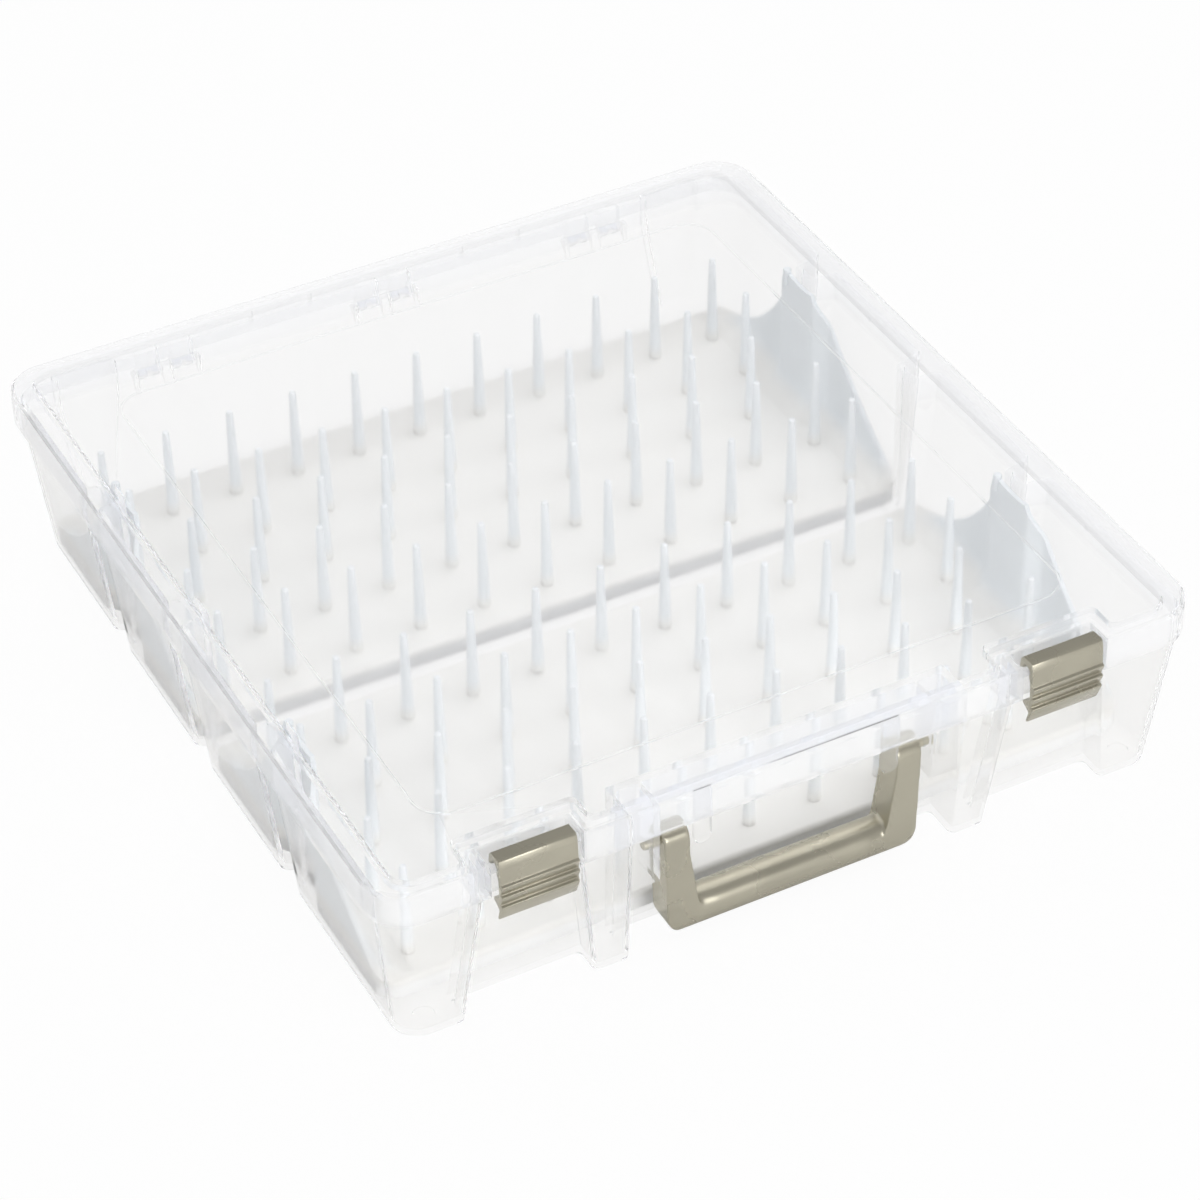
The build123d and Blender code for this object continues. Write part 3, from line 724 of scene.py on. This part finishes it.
def smooth_shade(obj, angle=35):
    """Smooth shading that breaks at edges sharper than an angle in degrees."""
    work_on(obj)
    bpy.ops.object.shade_smooth_by_angle(angle=math.radians(angle))


def flatten_shading(obj):
    """Let large faces decide the shading, so that flat walls look flat beside round edges."""
    smooth_shade(obj)
    finish_with(obj, "WEIGHTED_NORMAL", keep_sharp=True, weight=100)


def blend_smooth(obj, grid, rounds):
    """Melt the joined shapes of obj into one skin and relax its edges."""
    work_on(obj)
    obj.data.remesh_voxel_size = grid
    obj.data.remesh_voxel_adaptivity = 0
    bpy.ops.object.voxel_remesh()
    finish_with(obj, "SMOOTH", factor=0.5, iterations=rounds)
    work_on(obj)
    bpy.ops.object.shade_smooth()


def join(first, others, name):
    """Join objects into the first one."""
    work_on(first)
    for other in others:
        other.select_set(True)
    bpy.ops.object.join()
    first.name = name
    first.data.name = name
    return first


def merged_copy(node_name, name):
    """Piece with its own copy of a CAD node's mesh, merged and cleaned to whole faces."""
    obj = bpy.data.objects.new(name, frame["nodes"][node_name].data.copy())
    bpy.context.scene.collection.objects.link(obj)
    work_on(obj)
    bpy.ops.object.mode_set(mode="EDIT")
    bpy.ops.mesh.select_all(action="SELECT")
    bpy.ops.mesh.remove_doubles(threshold=0.001 * MM)
    bpy.ops.mesh.dissolve_limited(angle_limit=math.radians(0.5))
    bpy.ops.object.mode_set(mode="OBJECT")
    return obj


def hand_over(obj, body, slot, *nodes):
    """Put a finished piece on its body in place of CAD nodes."""
    work_on(None)
    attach(obj, body)
    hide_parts(*nodes)


def shell_part(face, rim_from):
    """Which plastic a face of the shell shows: 0 wall, 1 thick rim, 2 flat lid panel."""
    if face.center.z < rim_from:
        return 0
    return 2 if abs(face.normal.z) > 0.9 and face.area > 0.01 else 1


class SPOOLBOX_OT_clear_shell(bpy.types.Operator):
    """Round the edges of the tray box and the lid and dress them in clear plastic"""

    bl_idname = "spoolbox.clear_shell"
    bl_label = "Clear Shell"

    def execute(self, context):
        plastics = context.scene.spoolbox_plastics
        walls = clear_plastic("clear_wall_plastic", plastics, plastics.wall_haze)
        rims = clear_plastic("clear_rim_plastic", plastics, plastics.rim_haze)
        panel = clear_plastic("clear_panel_plastic", plastics, plastics.panel_haze)
        for node_name, body in (("tray_box", "box_body"), ("lid", "lid_body")):
            shell = merged_copy(node_name, f"{node_name}_moulding")
            round_edges(shell, context.scene.spoolbox_shapes.edge)
            flatten_shading(shell)
            dress(shell, walls, rims, panel)
            for face in shell.data.polygons:
                face.material_index = shell_part(face, plastics.rim_from)
            hand_over(shell, body, "clear_plastic", node_name)
        return {"FINISHED"}


def end_steps():
    """Distances in mm from a tray's middle at which its end is drawn."""
    half = [0, 6, 12, 13.5, 15, 16.5, 18, 19.5, 21, 22.5, 30, 38, 46, 54, 62, 68, 74]
    half += [75.5, 77, 78.5, 80, 81.2, 82]
    return [-y for y in reversed(half[1:])] + half


def end_x(y, half_x, half_y, corner):
    """Plan of a tray's end in mm: straight, drawn in round the wall groove, round corners."""
    share = min(1, max(0, (abs(y) - GROOVE_HALF) / GROOVE_BLEND))
    drawn_in = GROOVE_DEPTH * (1 - share * share * (3 - 2 * share))
    round_part = min(corner, max(0, abs(y) - (half_y - corner)))
    return half_x - drawn_in - (corner - math.sqrt(corner * corner - round_part * round_part))


def make_deck(low, high, deck_z, shapes):
    """Hollow deck of a tray with a rounded rim, open below."""
    middle = (low + high) / 2 / MM
    half_x, half_y = high.x / MM, (high.y - low.y) / 2 / MM
    plan = [(end_x(y, half_x, half_y, shapes.deck_corner / MM), y) for y in end_steps()]
    plan += [(-x, y) for x, y in reversed(plan)]
    deck = draw_outline(
        "deck", [Vector((x * MM, (middle.y + y) * MM, low.z)) for x, y in plan]
    )
    extrude((0, 0, deck_z - low.z))
    turn_faces_out()
    pick("FACE", lambda f: f.normal.z < -0.9)
    bpy.ops.mesh.delete(type="FACE")
    pick("EDGE", lambda e: all(v.co.z > deck_z - 0.1 * MM for v in e.verts))
    bevel_and_close(shapes.deck_edge, 4)
    finish_with(deck, "SOLIDIFY", thickness=shapes.wall, offset=-1, use_even_offset=True)
    flatten_shading(deck)
    return deck


def make_pin(deck_z, top_z, shapes):
    """One tapered spool pin with a rounded tip, at the origin."""
    root_z = deck_z - PIN_SINK
    pin = add_part(
        "cylinder",
        vertices=shapes.pin_sides,
        radius=shapes.pin_radius,
        depth=top_z - root_z,
        location=(0, 0, (top_z + root_z) / 2),
    )
    pick("VERT", lambda v: v.co.z > top_z - 1 * MM)
    taper = shapes.pin_tip_radius / shapes.pin_radius
    bpy.ops.transform.resize(value=(taper, taper, 1), center_override=(0, 0, top_z))
    pick("EDGE", lambda e: all(v.co.z > top_z - 1 * MM for v in e.verts))
    bevel_and_close(0.8 * MM, 2)
    smooth_shade(pin, 60)
    return pin


def pin_places(low, high, shapes):
    """Places of a tray's pins; the middle row is staggered and one pin shorter."""
    pitch_x = (high.x - low.x - 2 * PIN_EDGE_X) / (shapes.pins_long_row - 1)
    pitch_y = (high.y - low.y - 2 * PIN_EDGE_Y) / (shapes.pin_rows - 1)
    middle = (low.y + high.y) / 2 + PIN_SHIFT_Y
    for row in range(shapes.pin_rows):
        from_middle = row - (shapes.pin_rows - 1) / 2
        count = shapes.pins_long_row - (from_middle == 0)
        for i in range(count):
            yield Vector(((i - (count - 1) / 2) * pitch_x, middle + from_middle * pitch_y, 0))


def bezier(first, second, third, last, steps=14):
    """Points of a curve that leaves first towards second and reaches last from third."""
    corners = [Vector(corner) for corner in (first, second, third, last)]
    points = []
    for step in range(steps + 1):
        t = step / steps
        weights = ((1 - t) ** 3, 3 * t * (1 - t) ** 2, 3 * t * t * (1 - t), t**3)
        points.append(sum((c * w for c, w in zip(corners, weights)), Vector((0, 0))))
    return points


def end_wall_view(deck_z, top_z):
    """Side view of an end wall in mm from the tray's middle: peaked, fuller to the front."""
    rise = top_z - deck_z
    slopes = []
    for end, (top_share, high), (foot_share, low) in WALL_SLOPES:
        slopes.append(
            bezier(
                (end * WALL_TOP_HALF, top_z),
                (end * WALL_TOP_HALF * top_share, deck_z + rise * high),
                (end * WALL_FOOT_HALF * foot_share, deck_z + rise * low),
                (end * WALL_FOOT_HALF, deck_z),
            )
        )
    foot = [Vector(corner) for corner in WALL_FOOT]
    top = [Vector((-8, top_z - 0.9)), Vector((0, top_z - 1.2)), Vector((7, top_z - 0.6))]
    return slopes[1][::-1] + top + slopes[0] + foot[::-1]


def make_end_wall(side, low, high, deck_z, shapes):
    """End wall of a tray: a peaked plate drawn in round the groove, coved to the deck."""
    middle_y = (low.y + high.y) / 2 / MM
    half_x, half_y = high.x / MM, (high.y - low.y) / 2 / MM
    corner, thick, cove = shapes.deck_corner / MM, shapes.end_wall / MM, shapes.cove / MM
    deck = deck_z / MM
    cove_steps = [deck + cove * share for share in COVE_SHARES]
    outline = [Vector((y + middle_y, z)) for y, z in end_wall_view(deck, WALL_TOP)]
    wall = draw_outline("end_wall", on_side(outline, side * half_x * MM))
    extrude((-side * thick * MM, 0, 0))
    for y in end_steps()[1:-1]:
        cut_through((0, (middle_y + y) * MM, 0), (0, 1, 0))
    for z in (*cove_steps, deck + cove, 45, 60):
        cut_through((0, 0, z * MM), (0, 0, 1))
    inner = abs(half_x - thick)
    for z in cove_steps:
        reach = cove - math.sqrt(cove * cove - (deck + cove - z) ** 2)
        pick(
            "VERT",
            lambda v: abs(abs(v.co.x) / MM - inner) < 0.1 and abs(v.co.z / MM - z) < 0.05,
        )
        move((-side * reach * MM, 0, 0))
    mesh = bmesh.from_edit_mesh(wall.data)
    places = sorted({round(v.co.y / MM - middle_y, 2) for v in mesh.verts})
    for y in places:
        way = end_x(y, half_x, half_y, corner) - half_x
        if abs(way) > 0.01:
            pick("VERT", lambda v: abs(v.co.y / MM - middle_y - y) < 0.02)
            move((side * way * MM, 0, 0))
    turn_faces_out()
    bpy.ops.object.mode_set(mode="OBJECT")
    smooth_shade(wall, 40)
    return wall


def make_knob(side, low, high, top_z):
    """Small round knob at the peak of an end wall."""
    place_y = (low.y + high.y) / 2 + KNOB_SHIFT_Y
    knob = add_part(
        "cylinder",
        vertices=20,
        radius=KNOB_RADIUS,
        depth=KNOB_TALL,
        location=(side * KNOB_X, place_y, top_z - KNOB_TALL / 2),
    )
    pick("EDGE", lambda e: all(v.co.z > top_z - 1 * MM for v in e.verts))
    bevel_and_close(0.8 * MM, 3)
    smooth_shade(knob, 60)
    return knob


class SPOOLBOX_OT_thread_trays(bpy.types.Operator):
    """Model the two thread trays: deck, end walls and fields of spool pins"""

    bl_idname = "spoolbox.thread_trays"
    bl_label = "Thread Trays"

    def execute(self, context):
        shapes = context.scene.spoolbox_shapes
        plastics = context.scene.spoolbox_plastics
        deck_plastic = frosted_plastic("frosted_tray_plastic", plastics, 0.1)
        pin_plastic = frosted_plastic("frosted_pin_plastic", plastics, 0.4)
        lifts = {joint["child"]: joint["pos_m"] for joint in frame["joints"]}
        for side in ("back", "front"):
            node_name, body = f"thread_tray_{side}", f"tray_{side}_body"
            ends = [f"tray_{side}_end_left", f"tray_{side}_end_right"]
            deck_z = lifts[body][2]
            low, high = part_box(node_name)
            tray = make_deck(low, high, deck_z, shapes)
            dress(tray, deck_plastic)
            parts = []
            for way, end in ((-1, ends[0]), (1, ends[1])):
                parts.append(make_end_wall(way, low, high, deck_z, shapes))
                parts.append(make_knob(way, low, high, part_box(end)[1].z))
            pin = make_pin(deck_z, high.z, shapes)
            dress(pin, pin_plastic)
            for part in parts:
                dress(part, deck_plastic)
            for place in pin_places(low, high, shapes):
                work_on(pin)
                bpy.ops.object.duplicate(linked=False)
                copy = bpy.context.object
                copy.location = place
                bpy.ops.object.transform_apply(location=True, rotation=True, scale=True)
                parts.append(copy)
            bpy.data.objects.remove(pin)
            tray = join(tray, parts, f"{node_name}_moulding")
            hand_over(tray, body, "frosted_plastic", node_name, *ends)
        return {"FINISHED"}


def cut_to(obj, other):
    """Keep only what obj shares with another solid, and remove that one."""
    finish_with(obj, "BOOLEAN", operation="INTERSECT", object=other, solver="EXACT")
    bpy.data.objects.remove(other)


def make_arms(mid_y, bottom, top):
    """Arms and the lower half of the grip, cut from a front and a side outline, in mm."""
    half, thick = HANDLE_HALF, HANDLE_THICK
    inner = half - HANDLE_ARM
    front = [
        (-half, top, 0),
        (-half + 1.6, bottom, 11),
        (half - 1.6, bottom, 11),
        (half, top, 0),
        (inner, top, 0),
        (inner, 45, 14),
        (inner - 5, GRIP_TOP - 9, 10),
        (-inner + 5, GRIP_TOP - 9, 10),
        (-inner, 45, 14),
        (-inner, top, 0),
    ]
    arms = draw_outline("handle_arms", on_front(rounded(front, 10), (mid_y - thick) * MM))
    thicken((0, 2 * thick * MM, 0))
    near, far = mid_y - thick / 2, mid_y + thick / 2
    side = [
        (near, bottom, 5.5),
        (far, bottom, 5.5),
        (far, top, thick / 2 - 0.05),
        (near, top, thick / 2 - 0.05),
    ]
    mask = draw_outline("handle_side", on_side(rounded(side, 12), -2 * half * MM))
    thicken((4 * half * MM, 0, 0))
    cut_to(arms, mask)
    return arms


def make_grip(mid_y, bottom):
    """Round grip bar, a little flat from front to back, drawn narrower towards the arms."""
    inner = HANDLE_HALF - HANDLE_ARM
    middle = (0, mid_y * MM, (bottom + GRIP_TOP) / 2 * MM)
    grip = add_part(
        "cylinder",
        vertices=48,
        radius=(GRIP_TOP - bottom) / 2 * MM,
        depth=2 * (inner + GRIP_REACH) * MM,
        location=middle,
        rotation=(0, math.pi / 2, 0),
    )
    for x in (-inner + GRIP_NECK, inner - GRIP_NECK):
        cut_through((x * MM, 0, 0), (1, 0, 0))
    pick("VERT", lambda v: abs(v.co.x) < inner * MM)
    bpy.ops.transform.resize(value=(1, 0.92, 1), center_override=middle)
    pick("VERT", lambda v: abs(v.co.x) > inner * MM)
    bpy.ops.transform.resize(value=(1, 0.8, 1.04), center_override=middle)
    bpy.ops.object.mode_set(mode="OBJECT")
    return grip


def make_pivots(low, high, pivot):
    """The two pivot pins, one rod with the part between the arms taken out."""
    pins = add_part(
        "cylinder",
        vertices=32,
        radius=PIVOT_RADIUS * MM,
        depth=high.x - low.x,
        location=pivot,
        rotation=(0, math.pi / 2, 0),
    )
    pick("EDGE", lambda e: abs(sum(v.co.x for v in e.verts)) > high.x - low.x - 1 * MM)
    bevel_and_close(0.6 * MM, 3)
    span = 2 * (HANDLE_HALF - HANDLE_ARM) * MM
    gap = add_part("cube", size=1, location=pivot, scale=(span, 0.02, 0.02))
    finish_with(pins, "BOOLEAN", operation="DIFFERENCE", object=gap, solver="EXACT")
    bpy.data.objects.remove(gap)
    return pins


def make_handle(shapes):
    """Handle: flat arms with round shoulders, and a round grip blended between them."""
    low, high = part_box("handle")
    pivot = next(j["pos_m"] for j in frame["joints"] if j["child"] == "handle_body")
    mid_y, bottom = pivot[1] / MM, low.z / MM
    handle = make_arms(mid_y, bottom, high.z / MM)
    grip = make_grip(mid_y, bottom)
    pins = make_pivots(low, high, pivot)
    handle = join(handle, [grip, pins], "handle_moulding")
    blend_smooth(handle, shapes.blend_grid, 22)
    return handle


class SPOOLBOX_OT_carry_handle(bpy.types.Operator):
    """Model the carrying handle and dress it in taupe plastic"""

    bl_idname = "spoolbox.carry_handle"
    bl_label = "Carry Handle"

    def execute(self, context):
        handle = make_handle(context.scene.spoolbox_shapes)
        dress(handle, taupe_plastic(context.scene.spoolbox_plastics))
        hand_over(handle, "handle_body", "taupe_plastic", "handle")
        return {"FINISHED"}


def latch_outline(rod_y, rod_z):
    """Side view of a latch in mm: hooked top, fold, drawn-in face, ridges and tooth."""
    over = []
    for step in range(13):
        turn = math.radians(215 - step * 19)
        over.append((LATCH_BORE * math.cos(turn), LATCH_BORE * math.sin(turn), 0))
    front = [
        (-3.9, 5.9, 1.3),
        (-4.9, 2.4, 6),
        (-5.3, -4.6, 1.5),
    ]
    for ridge in range(3):
        y, z = -6.6 + 0.3 * ridge, -6.3 - 5.3 * ridge
        front += [(y + 1.1, z + 0.7, 0.3), (y, z + 0.35, 0.3), (y + 0.1, z - 0.5, 0.4)]
        front += [(y + 1.5, z - 4.0, 0.6)]
    back = [
        (-2.7, -25.0, 0.5),
        (-1.7, -24.8, 0.4),
        (-3.3, -19.5, 1.0),
        (1.2, -17.0, 0.4),
        (1.0, -15.9, 0.4),
        (-3.6, -13.0, 1.0),
        (-3.2, -4.6, 2.0),
    ]
    hook = [(4.2, -2.4, 0.5), (4.6, 0, 1.0), (4.0, 3.6, 1.5), (2.6, 5.3, 0.7)]
    corners = front + back + over + hook
    return rounded([(rod_y + y, rod_z + z, radius) for y, z, radius in corners], 4)


def make_latch(node_name):
    """Latch of one side, bevelled at its ends."""
    low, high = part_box(node_name)
    rod = next(j["pos_m"] for j in frame["joints"] if node_name in j["child"])
    points = on_side(latch_outline(rod[1] / MM, rod[2] / MM), low.x)
    latch = draw_outline(f"{node_name}_moulding", points)
    thicken((high.x - low.x, 0, 0))
    work_on(latch)
    bpy.ops.object.mode_set(mode="EDIT")
    pick("FACE", lambda f: abs(f.normal.x) > 0.9)
    bevel_and_close(0.25 * MM, 2)
    smooth_shade(latch, 40)
    return latch


class SPOOLBOX_OT_latches(bpy.types.Operator):
    """Model the two front latches and dress them in taupe plastic"""

    bl_idname = "spoolbox.latches"
    bl_label = "Front Latches"

    def execute(self, context):
        material = taupe_plastic(context.scene.spoolbox_plastics)
        for node_name in ("latch_left", "latch_right"):
            latch = make_latch(node_name)
            dress(latch, material)
            hand_over(latch, f"{node_name}_body", "taupe_plastic", node_name)
        return {"FINISHED"}


def white_to_the_eye(tree, x=0, y=0):
    """Mask that is 1 on rays that end in the eye, straight or through plastic."""
    path = node(tree, "ShaderNodeLightPath", x - 200, y)
    first = node(tree, "ShaderNodeMath", x, y, operation="MAXIMUM")
    direct = node(tree, "ShaderNodeMath", x, y - 200, operation="LESS_THAN")
    direct.inputs[1].default_value = 0.5
    mask = node(tree, "ShaderNodeMath", x + 400, y, operation="MULTIPLY")
    tree.links.new(path.outputs["Is Camera Ray"], first.inputs[0])
    tree.links.new(path.outputs["Is Transmission Ray"], first.inputs[1])
    tree.links.new(path.outputs["Diffuse Depth"], direct.inputs[0])
    tree.links.new(first.outputs["Value"], mask.inputs[0])
    tree.links.new(direct.outputs["Value"], mask.inputs[1])
    return mask.outputs["Value"]


def add_floor(size):
    """White studio floor that keeps a soft shadow."""
    bpy.ops.object.select_all(action="DESELECT")
    bpy.ops.mesh.primitive_plane_add(size=size, location=(0, 0, FLOOR_Z))
    floor = bpy.context.object
    floor.name = "studio_floor"
    material, tree, shader, output = fresh_material("studio_paper")
    shader.inputs["Base Color"].default_value = (0.9, 0.9, 0.9, 1)
    shader.inputs["Roughness"].default_value = 0.9
    glow = node(tree, "ShaderNodeEmission", 300, 300, Color=(1, 1, 1, 1), Strength=1.0)
    mix = node(tree, "ShaderNodeMixShader", 480, 150)
    share = node(tree, "ShaderNodeMath", 300, 450, operation="MULTIPLY")
    share.inputs[1].default_value = FLOOR_WHITE
    tree.links.new(white_to_the_eye(tree, -300, 450), share.inputs[0])
    tree.links.new(share.outputs["Value"], mix.inputs["Fac"])
    tree.links.new(shader.outputs["BSDF"], mix.inputs[1])
    tree.links.new(glow.outputs["Emission"], mix.inputs[2])
    tree.links.new(mix.outputs["Shader"], output.inputs["Surface"])
    output.location = (700, 0)
    floor.data.materials.append(material)


def set_world(strength, mirrored_share):
    """Even surround: white where the eye sees it, dimmer where satin surfaces mirror it."""
    world = bpy.data.worlds.new("studio_world")
    bpy.context.scene.world = world
    world.use_nodes = True
    tree = world.node_tree
    tree.nodes.clear()
    output = node(tree, "ShaderNodeOutputWorld", 900, 0)
    sky = node(tree, "ShaderNodeBackground", 700, 0, Color=(1, 1, 1, 1))
    level = node(tree, "ShaderNodeMapRange", 500, 0)
    level.inputs["To Min"].default_value = strength
    level.inputs["To Max"].default_value = 1.0
    path = node(tree, "ShaderNodeLightPath", 300, -300)
    mirrored = node(tree, "ShaderNodeMapRange", 500, -300)
    mirrored.inputs["To Min"].default_value = 1.0
    mirrored.inputs["To Max"].default_value = mirrored_share
    dim = node(tree, "ShaderNodeMath", 700, -200, operation="MULTIPLY")
    tree.links.new(white_to_the_eye(tree), level.inputs["Value"])
    bounced = node(tree, "ShaderNodeMath", 400, -500, operation="MULTIPLY")
    tree.links.new(path.outputs["Is Glossy Ray"], bounced.inputs[0])
    tree.links.new(path.outputs["Is Reflection Ray"], bounced.inputs[1])
    tree.links.new(bounced.outputs["Value"], mirrored.inputs["Value"])
    tree.links.new(level.outputs["Result"], dim.inputs[0])
    tree.links.new(mirrored.outputs["Result"], dim.inputs[1])
    tree.links.new(dim.outputs["Value"], sky.inputs["Strength"])
    tree.links.new(sky.outputs["Background"], output.inputs["Surface"])


def add_lamp(name, place, size, power, mirrored):
    """Square soft lamp at a place, pointed at the box."""
    data = bpy.data.lights.new(name, "AREA")
    data.shape = "SQUARE"
    data.size = size
    data.energy = power
    lamp = bpy.data.objects.new(name, data)
    lamp.location = place
    way = Vector(LAMP_AIM) - Vector(place)
    lamp.rotation_euler = way.to_track_quat("-Z", "Y").to_euler()
    lamp.visible_glossy = mirrored
    bpy.context.scene.collection.objects.link(lamp)


def add_camera(lens):
    """Camera at the photograph's place and angle."""
    data = bpy.data.cameras.new("studio_camera")
    data.lens = lens
    data.sensor_width = 36.0
    data.clip_end = 100
    camera = bpy.data.objects.new("studio_camera", data)
    turn = Matrix(CAMERA_WAYS).transposed().to_4x4()
    camera.matrix_world = Matrix.Translation(CAMERA_PLACE) @ turn
    bpy.context.scene.collection.objects.link(camera)
    bpy.context.scene.camera = camera


class SPOOLBOX_OT_studio(bpy.types.Operator):
    """Add the floor, the surround, the lamps and the camera"""

    bl_idname = "spoolbox.studio"
    bl_label = "Studio"

    def execute(self, context):
        studio = context.scene.spoolbox_studio
        add_floor(studio.floor_size)
        set_world(studio.sky_strength, studio.sky_mirrored)
        for name, place, size, power, mirrored in LAMPS:
            add_lamp(name, place, size, getattr(studio, power), mirrored)
        add_camera(studio.lens)
        context.scene.view_settings.view_transform = "Standard"
        return {"FINISHED"}


class SPOOLBOX_PT_panel(bpy.types.Panel):
    """Buttons and settings of the spool box"""

    bl_label = "Spool Box"
    bl_idname = "SPOOLBOX_PT_panel"
    bl_space_type = "VIEW_3D"
    bl_region_type = "UI"
    bl_category = "Spool Box"

    def draw(self, context):
        for group in SETTINGS:
            settings = getattr(context.scene, group)
            column = self.layout.column()
            for name in settings.bl_rna.properties.keys():
                if name not in {"rna_type", "name"}:
                    column.prop(settings, name)
        for operator in OPERATORS:
            self.layout.operator(operator.bl_idname)


OPERATORS = (
    SPOOLBOX_OT_clear_shell,
    SPOOLBOX_OT_thread_trays,
    SPOOLBOX_OT_carry_handle,
    SPOOLBOX_OT_latches,
    SPOOLBOX_OT_studio,
)
SETTINGS = {
    "spoolbox_plastics": SpoolBoxPlastics,
    "spoolbox_shapes": SpoolBoxShapes,
    "spoolbox_studio": SpoolBoxStudio,
}
CLASSES = (*SETTINGS.values(), *OPERATORS, SPOOLBOX_PT_panel)


def register():
    """Register the classes and hang the settings on the scene."""
    for cls in CLASSES:
        bpy.utils.register_class(cls)
    for name, group in SETTINGS.items():
        setattr(bpy.types.Scene, name, bpy.props.PointerProperty(type=group))


def unregister():
    """Take the settings and classes away again."""
    for name in SETTINGS:
        delattr(bpy.types.Scene, name)
    for cls in reversed(CLASSES):
        bpy.utils.unregister_class(cls)


def main():
    """Build everything in order."""
    register()
    bpy.ops.spoolbox.clear_shell()
    bpy.ops.spoolbox.thread_trays()
    bpy.ops.spoolbox.carry_handle()
    bpy.ops.spoolbox.latches()
    bpy.ops.spoolbox.studio()


if __name__ == "__main__":
    main()
